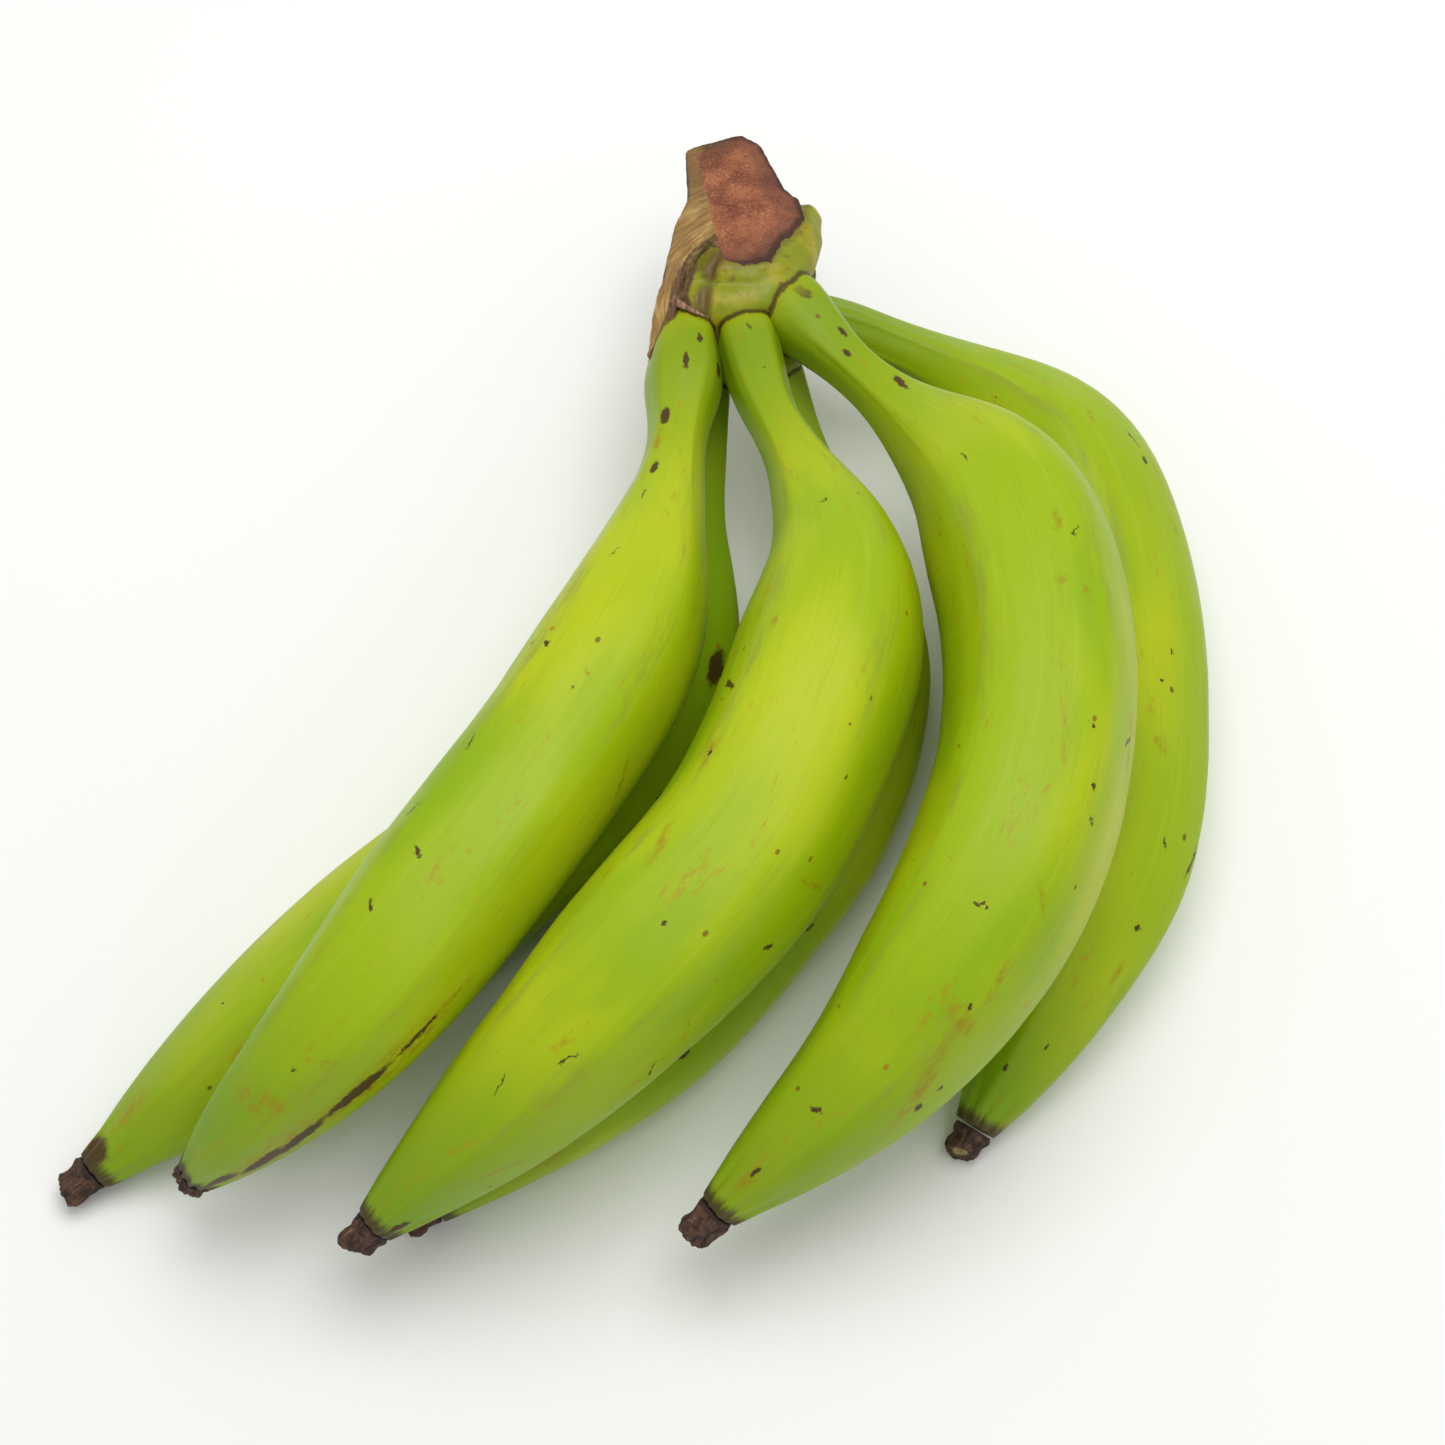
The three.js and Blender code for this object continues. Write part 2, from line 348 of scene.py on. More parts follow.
# Waxy green banana peel, grown. The wax gives it a broad soft sheen. Under it the green is uneven:
# yellower where the sun reached it, deeper at both ends, with fine lengthwise fibres, olive rubs on
# the ridges, and the brown scabs, stains and dried sap specks that growing and handling leave.
# Scabs are dark and sharp, stains are orange-brown and soft. Each one is given by its share of the
# finger's length, its turn from the top in degrees, its length and width in mm and its slant in degrees.
SCABS = {
    "front_right": [
        (0.04, -10, 8, 4, -75), (0.09, -20, 3, 4, 0), (0.11, 10, 3, 5, 0), (0.17, -15, 8, 4, 45),
        (0.3, 20, 4, 0.5, 0), (0.4, -25, 2.5, 0.5, 60), (0.54, -70, 4.5, 1, 60),
        (0.55, -30, 1.5, 0.5, -45), (0.59, -40, 1, 1, 0), (0.61, -45, 2.5, 0.5, -60),
        (0.69, -10, 1, 1, 0), (0.69, -5, 2.5, 0.5, 60), (0.75, -35, 1, 1, 0), (0.81, -70, 1.5, 1.5, 0),
        (0.83, -70, 3, 2, -75), (0.88, -5, 5, 1, 75), (0.95, -10, 2.5, 3.5, -75),
    ],
    "front_middle": [
        (0.04, 0, 4, 1.5, -60), (0.27, 5, 3, 0.5, 75), (0.45, -40, 1.5, 0.5, -45),
        (0.47, 50, 7, 1.5, -60), (0.51, -45, 1, 1, 0), (0.54, 35, 1.5, 1.5, 0), (0.63, -75, 2.5, 1, 30),
        (0.67, -10, 1, 1, 0), (0.75, -85, 5.5, 0.5, -45), (0.78, -25, 5, 0.5, 15),
        (0.83, -5, 5.5, 0.5, -30), (0.98, -60, 6.5, 4.5, 45),
    ],
    "front_left": [
        (0.06, -25, 3.5, 3.5, 0), (0.08, -75, 8.5, 4.5, 90), (0.09, -5, 4.5, 4, 0),
        (0.15, 25, 5.5, 6.5, -15), (0.22, 20, 4, 4.5, 90), (0.26, 20, 4, 1, 0), (0.34, 20, 4, 0.5, 30),
        (0.45, 45, 1.5, 1, 30), (0.45, 30, 2, 1, -75), (0.56, 35, 5, 0.5, -15),
        (0.63, 40, 4.5, 0.5, 15), (0.66, 15, 3.5, 1, -60), (0.71, 20, 2.5, 1, -45),
        (0.83, -15, 1.5, 1, -75), (0.76, -75, 11, 1.5, 0), (0.82, -75, 17, 4.5, 0),
        (0.88, -80, 16, 5, -15), (0.92, -80, 14, 6, -15), (0.97, -75, 12, 9, -15),
    ],
    "back_right": [
        (0.34, -50, 5, 0.5, -15), (0.36, -50, 2, 1.5, 30), (0.55, -35, 1, 1, 0), (0.58, -25, 1, 1, 0),
        (0.72, -40, 2.5, 0.5, -30), (0.72, -70, 8, 1, 15), (0.79, -45, 2, 1, -45),
        (0.91, -30, 1.5, 1.5, 0), (0.94, 0, 1.5, 2, 0),
    ],
    "back_middle": [
        (0.42, 75, 4, 1, 30), (0.6, -60, 2, 1, 0), (0.75, -50, 5, 3.5, 0), (0.86, -40, 3, 0.5, 45),
    ],
    "back_left": [
        (0.3, -50, 9, 5.5, 0), (0.42, -65, 2, 1, 0), (0.82, 30, 1, 1, 0), (0.84, 75, 10, 1.5, 0),
        (0.985, 20, 7, 30, 0),
    ],
}
STAINS = {
    "front_right": [
        (0.39, -15, 4.5, 2, 15), (0.44, -10, 3, 1.5, 45), (0.45, -25, 4, 1.5, -15),
        (0.56, 30, 5, 0.5, 15), (0.56, -15, 9.5, 1.5, -15), (0.54, -75, 10.5, 2, -15),
        (0.67, 25, 2, 0.5, -60), (0.67, -35, 8, 1, -45), (0.73, -40, 11, 1.5, -15),
        (0.76, -35, 10, 4, -75), (0.82, -55, 26, 4, -30), (0.96, -10, 6.5, 6.5, 0),
    ],
    "front_middle": [
        (0.41, 30, 3.5, 1, 15), (0.54, 35, 8, 3, 0), (0.58, -70, 12, 1, 75), (0.63, 25, 10, 2, -15),
        (0.71, -75, 8.5, 0.5, -45), (0.89, -65, 21, 1.5, 30),
    ],
    "front_left": [
        (0.18, 30, 8, 4.5, 15), (0.46, -5, 2.5, 1, -60), (0.51, -80, 12.5, 1, -45),
        (0.72, -75, 11, 2, 0), (0.81, -30, 4, 1, 60), (0.87, -15, 17.5, 6.5, 75), (0.8, -75, 34, 9, 0),
        (0.91, -75, 30, 13, -15),
    ],
    "back_right": [
        (0.31, -25, 5, 1, 30), (0.42, -55, 5.5, 1.5, -15), (0.64, -25, 3.5, 3, -15),
        (0.83, -50, 5, 2.5, -15), (0.98, -60, 6.5, 5.5, -30),
    ],
    "back_middle": [(0.5, -40, 6, 1, -15), (0.68, 30, 9, 2, 15), (0.9, -60, 12, 3, 0)],
    "back_left": [(0.55, 40, 7, 2, 15), (0.7, 10, 9, 1, -15), (0.94, 20, 10, 12, 0)],
}
STEP = {"interpolation_type": "SMOOTHSTEP"}
RAGGED = 4.2 * MM  # how far a mark's edge wanders


def marks_on(peel, coordinates, length, marks, soft):
    """How strongly any of a finger's marks shows at a point, from 0 to 1."""
    strongest = None
    for share, turn, long, wide, slant in marks:
        angle = math.radians(turn)
        outward = Vector((math.sin(angle), math.cos(angle), 0))
        lengthwise = Vector((0, 0, 1))
        lengthwise.rotate(Matrix.Rotation(math.radians(slant), 3, outward))
        axes = Matrix((lengthwise, outward.cross(lengthwise), outward)).transposed()
        own = add(peel, "ShaderNodeMapping", {0: coordinates}, vector_type="TEXTURE",
                  in_1=outward * ROUGHLY + Vector((0, 0, share * length)), in_2=axes.to_euler(),
                  in_3=(long / 2 * MM, wide / 2 * MM, 8 * MM))
        reach = add(peel, "ShaderNodeVectorMath", {0: own}, operation="LENGTH").outputs["Value"]
        shown = add(peel, "ShaderNodeMapRange", {0: reach}, **STEP, in_1=1.0 - soft, in_2=1.0 + soft,
                    in_3=1.0, in_4=0.0)
        if strongest is None:
            strongest = shown
        else:
            strongest = add(peel, "ShaderNodeMath", {0: strongest, 1: shown}, operation="MAXIMUM")
    return strongest


def paint_peel(place):
    material = bpy.data.materials.new(f"waxy green banana peel, grown, {place}")
    material.use_nodes = True
    peel = material.node_tree
    peel.nodes.clear()
    true_size = add(peel, "ShaderNodeAttribute", attribute_name="straightened").outputs["Vector"]
    rod = add(peel, "ShaderNodeAttribute", attribute_name="rod").outputs["Vector"]
    share = add(peel, "ShaderNodeAttribute", attribute_name="share").outputs["Fac"]
    ridge = add(peel, "ShaderNodeAttribute", attribute_name="ridge").outputs["Fac"]
    to_crown = add(peel, "ShaderNodeAttribute", attribute_name="to_crown").outputs["Fac"]

    # the green itself: yellower in the sun, deeper in the shade, with pale streaks and dark fibres
    sun_at = add(peel, "ShaderNodeMapping", {0: true_size}, in_Scale=per_mm(34, 80))
    sun = add(peel, "ShaderNodeTexNoise", {0: sun_at}, in_Scale=1, in_Detail=2, in_Roughness=0.5)
    sunny = add(peel, "ShaderNodeMapRange", {0: sun}, **STEP, in_1=0.42, in_2=0.66)
    colour = add(peel, "ShaderNodeMix", {0: sunny}, data_type="RGBA", in_6=srgb("98B404"),
                 in_7=srgb("B1C00E")).outputs[2]
    shade_at = add(peel, "ShaderNodeMapping", {0: true_size}, in_Scale=per_mm(22, 60))
    shade = add(peel, "ShaderNodeTexNoise", {0: shade_at}, in_Scale=1, in_Detail=3, in_Roughness=0.5)
    shady = add(peel, "ShaderNodeMapRange", {0: shade}, **STEP, in_1=0.52, in_2=0.7, in_4=0.55)
    colour = add(peel, "ShaderNodeMix", {0: shady, 6: colour}, data_type="RGBA",
                 in_7=srgb("7EA804")).outputs[2]
    streak_at = add(peel, "ShaderNodeMapping", {0: rod}, in_Scale=per_mm(2.2, 70))
    streak = add(peel, "ShaderNodeTexNoise", {0: streak_at}, in_Scale=1, in_Detail=3, in_Roughness=0.6)
    streaky = add(peel, "ShaderNodeMapRange", {0: streak}, **STEP, in_1=0.5, in_2=0.78, in_4=0.24)
    colour = add(peel, "ShaderNodeMix", {0: streaky, 6: colour}, data_type="RGBA",
                 in_7=srgb("B4C63C")).outputs[2]
    fibre_at = add(peel, "ShaderNodeMapping", {0: rod}, in_Scale=per_mm(0.7, 22))
    fibre = add(peel, "ShaderNodeTexNoise", {0: fibre_at}, in_Scale=1, in_Detail=2, in_Roughness=0.6)
    fibrous = add(peel, "ShaderNodeMapRange", {0: fibre}, **STEP, in_1=0.55, in_2=0.8, in_4=0.28)
    colour = add(peel, "ShaderNodeMix", {0: fibrous, 6: colour}, data_type="RGBA",
                 in_7=srgb("739A08")).outputs[2]
    neck = add(peel, "ShaderNodeMapRange", {0: share}, **STEP, in_1=0.26, in_2=0.06, in_4=0.8)
    colour = add(peel, "ShaderNodeMix", {0: neck, 6: colour}, data_type="RGBA",
                 in_7=srgb("7A960A")).outputs[2]
    beak = add(peel, "ShaderNodeMapRange", {0: share}, **STEP, in_1=0.74, in_2=0.99, in_4=0.6)
    colour = add(peel, "ShaderNodeMix", {0: beak, 6: colour}, data_type="RGBA",
                 in_7=srgb("5F8C0A")).outputs[2]

    # olive rubs on the ridges, and rusty stains in grainy patches
    rub_at = add(peel, "ShaderNodeMapping", {0: rod}, in_Scale=per_mm(5, 26))
    rub = add(peel, "ShaderNodeTexNoise", {0: rub_at}, in_Scale=1, in_Detail=5, in_Roughness=0.62)
    rubbed = add(peel, "ShaderNodeMapRange", {0: rub}, **STEP, in_1=0.5, in_2=0.66, in_4=0.7)
    on_ridge = add(peel, "ShaderNodeMath", {0: ridge, 1: rubbed}, operation="MULTIPLY")
    colour = add(peel, "ShaderNodeMix", {0: on_ridge, 6: colour}, data_type="RGBA",
                 in_7=srgb("8E9A2C")).outputs[2]
    rust_at = add(peel, "ShaderNodeMapping", {0: rod}, in_Scale=per_mm(6, 30))
    rust = add(peel, "ShaderNodeTexNoise", {0: rust_at}, in_Scale=1, in_Detail=6, in_Roughness=0.7,
               in_Distortion=0.6)
    rusty = add(peel, "ShaderNodeMapRange", {0: rust}, **STEP, in_1=0.54, in_2=0.66, in_4=0.65)
    fleck_at = add(peel, "ShaderNodeMapping", {0: true_size}, in_Scale=per_mm(1.6, 3.2))
    fleck = add(peel, "ShaderNodeTexNoise", {0: fleck_at}, in_Scale=1, in_Detail=4, in_Roughness=0.7)
    flecked = add(peel, "ShaderNodeMapRange", {0: fleck}, **STEP, in_1=0.48, in_2=0.62)
    stained = add(peel, "ShaderNodeMath", {0: rusty, 1: flecked}, operation="MULTIPLY")
    colour = add(peel, "ShaderNodeMix", {0: stained, 6: colour}, data_type="RGBA",
                 in_7=srgb("A98A0A")).outputs[2]

    # dried sap specks, one in a few of the cells of a loose net
    speck_at = add(peel, "ShaderNodeMapping", {0: true_size}, in_Scale=per_mm(5.5, 7))
    specks = add(peel, "ShaderNodeTexVoronoi", {"Vector": speck_at}, in_Scale=1)
    draw = add(peel, "ShaderNodeSeparateColor", {0: specks.outputs["Color"]})
    speck_size = add(peel, "ShaderNodeMapRange", {0: draw}, **STEP, in_1=0.6, in_2=1.0, in_4=0.12)
    within = add(peel, "ShaderNodeMath", {0: speck_size, 1: specks.outputs["Distance"]},
                 operation="SUBTRACT")
    speck = add(peel, "ShaderNodeMapRange", {0: within}, **STEP, in_1=0.0, in_2=0.018, in_4=0.85)
    sap = add(peel, "ShaderNodeMix", {0: draw.outputs[1]}, data_type="RGBA", in_6=srgb("5A4410"),
              in_7=srgb("AA7E0A")).outputs[2]
    colour = add(peel, "ShaderNodeMix", {0: speck, 6: colour, 7: sap}, data_type="RGBA").outputs[2]

    # the scabs and stains of this finger, with ragged edges
    ragged_at = add(peel, "ShaderNodeMapping", {0: true_size}, in_Scale=per_mm(1.7, 1.7))
    ragged = add(peel, "ShaderNodeTexNoise", {0: ragged_at}, in_Scale=1, in_Detail=4, in_Roughness=0.7)
    centred = add(peel, "ShaderNodeVectorMath", {0: ragged.outputs["Color"]}, operation="SUBTRACT",
                  in_1=(0.5, 0.5, 0.5))
    nudged = add(peel, "ShaderNodeVectorMath", {0: centred, 2: rod}, operation="MULTIPLY_ADD",
                 in_1=[RAGGED] * 3)
    length = fingers[place]["length"]
    if STAINS[place]:
        stain = marks_on(peel, nudged, length, STAINS[place], 0.6)
        grainy = add(peel, "ShaderNodeMapRange", {0: fleck}, **STEP, in_1=0.36, in_2=0.6, in_4=0.75)
        stain = add(peel, "ShaderNodeMath", {0: stain, 1: grainy}, operation="MULTIPLY")
        colour = add(peel, "ShaderNodeMix", {0: stain, 6: colour}, data_type="RGBA",
                     in_7=srgb("9C8206")).outputs[2]
    if SCABS[place]:
        scab = marks_on(peel, nudged, length, SCABS[place], 0.25)
        colour = add(peel, "ShaderNodeMix", {0: scab, 6: colour}, data_type="RGBA",
                     in_7=srgb("4E3A16")).outputs[2]

    # the brown crease at the crown, and the dead rim where the flower dried back
    rim_at = add(peel, "ShaderNodeMapping", {0: rod}, in_Scale=per_mm(3, 10))
    rim = add(peel, "ShaderNodeTexNoise", {0: rim_at}, in_Scale=1, in_Detail=3, in_Roughness=0.6)
    near_crown = add(peel, "ShaderNodeMapRange", {0: to_crown}, **STEP, in_1=7.0, in_2=0.5, in_4=0.6)
    colour = add(peel, "ShaderNodeMix", {0: near_crown, 6: colour}, data_type="RGBA",
                 in_7=srgb("9DA80C")).outputs[2]
    uneven = add(peel, "ShaderNodeMath", {0: rim, 2: to_crown}, operation="MULTIPLY_ADD", in_1=-1.4)
    creased = add(peel, "ShaderNodeMapRange", {0: uneven}, **STEP, in_1=0.25, in_2=-0.35, in_4=0.85)
    colour = add(peel, "ShaderNodeMix", {0: creased, 6: colour}, data_type="RGBA",
                 in_7=srgb("5A4312")).outputs[2]
    rim_line = add(peel, "ShaderNodeMath", {0: rim, 2: share}, operation="MULTIPLY_ADD", in_1=0.02)
    dead = add(peel, "ShaderNodeMapRange", {0: rim_line}, **STEP, in_1=0.992, in_2=1.004, in_4=0.95)
    colour = add(peel, "ShaderNodeMix", {0: dead, 6: colour}, data_type="RGBA",
                 in_7=srgb("4A3A1E")).outputs[2]

    # wax: smoother where it lies thick, over fibres and pores that just raise the surface
    wax_at = add(peel, "ShaderNodeMapping", {0: true_size}, in_Scale=per_mm(14, 20))
    wax = add(peel, "ShaderNodeTexNoise", {0: wax_at}, in_Scale=1, in_Detail=3, in_Roughness=0.55)
    dull = add(peel, "ShaderNodeMapRange", {0: wax}, **STEP, in_1=0.35, in_2=0.7, in_3=0.40, in_4=0.52)
    pore_at = add(peel, "ShaderNodeMapping", {0: true_size}, in_Scale=per_mm(0.9, 1.4))
    pores = add(peel, "ShaderNodeTexNoise", {0: pore_at}, in_Scale=1, in_Detail=2, in_Roughness=0.5)
    low = add(peel, "ShaderNodeMath", {0: pores}, operation="MULTIPLY", in_1=0.35)
    grain = add(peel, "ShaderNodeMath", {0: streak, 2: low}, operation="MULTIPLY_ADD", in_1=0.5)
    raised = add(peel, "ShaderNodeBump", {"Height": grain}, in_Strength=0.35, in_Distance=0.00035)
    skin = add(peel, "ShaderNodeBsdfPrincipled", {"Base Color": colour, "Roughness": dull, "Normal": raised},
               in_IOR=1.42, in_Specular_IOR_Level=0.28, in_Coat_Weight=0.05, in_Coat_Roughness=0.32,
               in_Subsurface_Weight=0.06, in_Subsurface_Scale=0.004)
    add(peel, "ShaderNodeOutputMaterial", {"Surface": skin})
    return material


for place in PLACES:
    piece = fingers[place]["piece"]
    piece.data.materials.append(paint_peel(place))
    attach(piece, "root")
    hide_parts(f"finger_{place}")

# ---------------------------------------------------------------- the crown
# The stub of bunch stalk that all six necks grow out of. A knife took it off the bunch: the cut has
# dried red-brown and grainy with a dark rim, its left side tore away in tan fibre that hangs on as
# a flap, and olive rind rolls round the rest. It is carved here as one solid, then wrapped in a skin.
# All its places are in mm from the low corner of the crown's box.
CROWN_LOW = np.array(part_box("crown")[0])
GRAIN = 0.5  # mm, how finely it is carved
ROOM = ((-2, 46), (-1.5, 65.5), (-0.5, 42))  # the block that it is carved from

CUT_TOP, CUT_SLOPE = 42.6, 0.194  # the knife cut's height at the front, and how it falls towards the back
TORN_SLOPE, TORN_HOLLOW = 0.42, 0.012  # how the torn side falls away from the cut

# Outlines from above, in order round the crown
BLOCK = [
    (9.6, 60), (23.3, 64.4), (28, 60.6), (31, 53), (33.5, 46.5), (37, 43), (38, 37.5), (36.5, 33),
    (33, 27.5), (31, 22.5), (27, 20.5), (18, 21), (11, 20), (5.5, 20), (5, 24), (5.5, 30), (7.3, 39),
    (10.4, 45.5), (10.2, 52),
]
CUT = [
    (12.4, 57), (23.3, 65), (28.5, 61), (31.6, 53), (34, 46.6), (37.6, 43.3), (38, 37.1), (35.8, 32.4),
    (32.2, 28.3), (30, 22.9), (23.6, 21.6), (18.6, 23.4), (17.2, 32.2), (15.7, 40.7), (14, 48.9),
]
RIM = [(6, 60)] + CUT[1:11] + [(12, 22), (6, 30)]  # the same, but wide open towards the torn side
TORN = [
    (15, 62), (16, 48.9), (17.7, 40.7), (19, 32.2), (19, 27), (14.6, 27.8), (11.3, 25.4), (9.1, 21.8),
    (7.3, 18), (6.8, 14), (5.5, 9), (3.5, 4.5), (1.3, 0.5), (-3, 0), (-3, 30), (4, 62),
]

# The stalk's own body below the cut: place along Y, middle, half width, underside, top
STALK = [
    (3, 22, 11, 11, 24), (8, 21.5, 16, 5, 29), (15, 21, 18, 2, 33), (23, 21, 17.5, 0.8, 36),
    (31, 22, 16.5, 0.8, 36), (38, 23.5, 16, 1.6, 35), (44, 23, 13.5, 3, 34), (51, 21, 9.5, 5, 32),
    (58, 20, 8, 8, 30), (62, 20.5, 5, 12, 26),
]

# Rolls, flaps and creases: the points that each follows, x, y, z and half thickness
LOWER_ROLL = [
    (9, 17, 28.5, 5.2), (14, 15.4, 30, 5.8), (21, 15, 30.5, 6), (27.5, 17, 30.5, 6),
    (32, 21.5, 30.5, 6), (35.5, 28, 29.5, 5.6), (38, 35, 28.3, 4.6), (39.3, 40.3, 28, 3.2),
]
UPPER_ROLL = [
    (18, 21.4, 34.4, 3.6), (25, 20.6, 34.6, 3.6), (31, 23, 34.3, 3.6), (35, 29.5, 32.8, 3.4),
    (37.5, 36, 31.4, 3.1), (38.6, 41, 30, 2.7),
]
FLAP = [
    (8.5, 24, 33, 3.2), (5.6, 17, 31.8, 2.9), (4, 10.5, 31.4, 2.4), (2.5, 5.5, 30.6, 1.6),
    (1.2, 1.4, 29.8, 0.6),
]
LIP = [
    (16.5, 29.5, 37.2, 1.0), (14.6, 28.2, 37.2, 1.3), (12, 26, 36.4, 1.1), (9.4, 22, 35, 1.1),
    (7.7, 18, 34.4, 1.1), (7.2, 14, 34, 1.0), (6, 9, 33.2, 0.9), (3.8, 4.5, 32, 0.7),
    (1.6, 1.4, 30.4, 0.4),
]
DRY_LIP = [
    (7.2, 14.2, 34.2, 0.9), (9, 12.6, 34.8, 0.8), (12, 10.9, 34.6, 0.6), (15.5, 9.6, 34.2, 0.45),
]
SIDE_FLAP = [(36.5, 33, 25.5, 2.2), (37.6, 29, 24.5, 3.0), (37.8, 25, 24, 2.8), (37, 21.5, 24, 1.8)]
SIDE_LIP = [(39, 33.5, 25.5, 0.8), (40.3, 28.5, 24.5, 0.9), (39.8, 23.5, 24, 0.8), (41.3, 19, 24, 0.6)]
FOLD = [
    (17.2, 24.5, 38, 0.8), (15.6, 21, 37.4, 1.1), (14.4, 17, 36.6, 1.2), (13.9, 13, 35.6, 1.1),
    (13.8, 10, 34.4, 0.9),
]


def from_outline(x, y, outline):
    """How far each place is from an outline seen from above, below zero inside it."""
    nearest = np.full(x.shape, np.inf)
    inside = np.zeros(x.shape, bool)
    for (ax, ay), (bx, by) in zip(outline, outline[1:] + outline[:1]):
        squared = (bx - ax) ** 2 + (by - ay) ** 2
        share = np.clip(((x - ax) * (bx - ax) + (y - ay) * (by - ay)) / squared, 0, 1)
        nearest = np.minimum(nearest, np.hypot(x - ax - share * (bx - ax), y - ay - share * (by - ay)))
        if ay != by:
            inside ^= ((ay > y) != (by > y)) & (x < (bx - ax) * (y - ay) / (by - ay) + ax)
    return np.where(inside, -nearest, nearest)


def from_roll(at, path, flat=1.0, facing=(0, 0, 1)):
    """How far each point is from a bent roll. A flat one is that many times thinner along its facing."""
    nearest = np.full(at.shape[:-1], np.inf)
    facing = np.array(facing) / np.linalg.norm(facing)
    for start, end in zip(np.array(path[:-1]), np.array(path[1:])):
        along = end[:3] - start[:3]
        share = np.clip((at - start[:3]) @ along / (along @ along), 0, 1)
        off = at - start[:3] - share[..., None] * along
        reach = np.sqrt((off ** 2).sum(axis=-1) + (flat ** 2 - 1) * (off @ facing) ** 2)
        outside = reach - start[3] - share * (end[3] - start[3])
        nearest = np.minimum(nearest, outside / (1 + 0.5 * (flat - 1)))
    return nearest


def joined(one, other, roundness):
    """Two solids grown together, with a round hollow of that size where they meet."""
    share = np.clip(0.5 + 0.5 * (other - one) / roundness, 0, 1)
    return other + (one - other) * share - roundness * share * (1 - share)


def trimmed(one, other, roundness):
    """What is inside both solids, with a round edge of that size."""
    return -joined(-one, -other, roundness)


def above_cut(at):
    return (at[..., 2] - CUT_TOP + CUT_SLOPE * at[..., 1]) / math.hypot(1, CUT_SLOPE)


def above_torn(at):
    edge = 13 + (56.5 - at[..., 1]) * 0.158
    beyond = np.maximum(edge - at[..., 0], -4)
    height = CUT_TOP - CUT_SLOPE * at[..., 1] - TORN_SLOPE * beyond - TORN_HOLLOW * beyond * np.abs(beyond)
    return (at[..., 2] - height) / math.hypot(1, TORN_SLOPE)


def carve(at):
    """How far each point is outside the crown, below zero inside it."""
    x, y, z = at[..., 0], at[..., 1], at[..., 2]
    tuck = 10 * np.clip((27 - z) / 27, 0, 1) ** 2
    block = trimmed(from_outline(x, y, BLOCK) + tuck, 3 - z, 4)
    stations = [section[0] for section in STALK]
    middle, across, low, high = (
        np.interp(y, stations, [section[k] for section in STALK]) for k in range(1, 5)
    )
    thick = (high - low) / 2
    stalk = (np.hypot((x - middle) / across, (z - low - thick) / thick) - 1) * np.minimum(across, thick)
    stalk = np.maximum(stalk, np.maximum(3 - y, y - 62))
    body = joined(block, stalk, 4)
    body = trimmed(body, above_torn(at), 0.8)
    body = joined(body, from_roll(at, LOWER_ROLL), 1.6)
    body = joined(body, from_roll(at, UPPER_ROLL), 1.0)
    body = trimmed(body, -from_roll(at, FOLD), 0.8)
    body = trimmed(body, above_cut(at), 0.7)
    body = joined(body, from_roll(at, FLAP, 2.6, (-0.42, 0.05, 0.9)), 0.7)
    body = joined(body, from_roll(at, LIP), 0.8)
    body = joined(body, from_roll(at, DRY_LIP, 1.6, (0.2, -0.6, 0.8)), 0.5)
    body = joined(body, from_roll(at, SIDE_FLAP, 2.6, (0.5, -0.4, 0.75)), 0.6)
    return joined(body, from_roll(at, SIDE_LIP), 0.6)


def wrap(values):
    """A skin of four-sided faces round the places of a grid where the values are below zero."""
    inside = values < 0
    cells = tuple(n - 1 for n in values.shape)
    total, count, quads = np.zeros(cells + (3,)), np.zeros(cells), []
    for axis in range(3):
        ahead = np.zeros(3, int)
        ahead[axis] = 1
        u, v = np.roll(ahead, 1), np.roll(ahead, 2)
        here = tuple(slice(1 - a, -1) for a in ahead)
        there = tuple(slice(1, None if a else -1) for a in ahead)
        crossed = np.argwhere(inside[here] != inside[there]) + (1 - ahead)
        start, end = values[tuple(crossed.T)], values[tuple((crossed + ahead).T)]
        point = crossed + (start / (start - end))[:, None] * ahead
        corners = [crossed, crossed - u, crossed - u - v, crossed - v]
        for cell in corners:
            np.add.at(total, tuple(cell.T), point)
            np.add.at(count, tuple(cell.T), 1)
        quad = np.stack([np.ravel_multi_index(tuple(cell.T), cells) for cell in corners], axis=1)
        quads.append(np.where((start < 0)[:, None], quad, quad[:, ::-1]))
    quads = np.concatenate(quads)
    used, faces = np.unique(quads, return_inverse=True)
    points = total.reshape(-1, 3)[used] / count.ravel()[used][:, None]
    return points, faces.reshape(quads.shape)


# How the torn side's fibres run, from crosswise at the back to along the flap: place along Y, then degrees
FIBRE_TURN = [(8, 76), (18, 66), (26, 48), (36, 26), (46, 9)]
FIBRE_CENTRE = (10, 30)


def fibre_places(at):
    """Coordinates along the fibres, across them and through them, in metres."""
    turn = np.radians(np.interp(at[:, 1], *zip(*FIBRE_TURN)))
    x, y = at[:, 0] - FIBRE_CENTRE[0], at[:, 1] - FIBRE_CENTRE[1]
    along = x * np.cos(turn) + y * np.sin(turn)
    across = y * np.cos(turn) - x * np.sin(turn)
    return np.stack([along, across, at[:, 2]], axis=1) * MM


def nearest_skin(points, trees):
    """How far each point, in metres, is from the nearest of some skins, in mm."""
    return np.array([min(tree.find_nearest(Vector(p))[3] for tree in trees) for p in points]) / MM


def tree_of(piece, reach=None):
    """A tree of a piece's faces, or only of those within some distance of the crown."""
    corners = [v.co for v in piece.data.vertices]
    middle = Vector(CROWN_LOW) + Vector((0.022, 0.03, 0.02))
    near = [p for p in piece.data.polygons if reach is None or (p.center - middle).length < reach]
    faces = [tuple(p.vertices) for p in near]
    return BVHTree.FromPolygons(corners, faces)


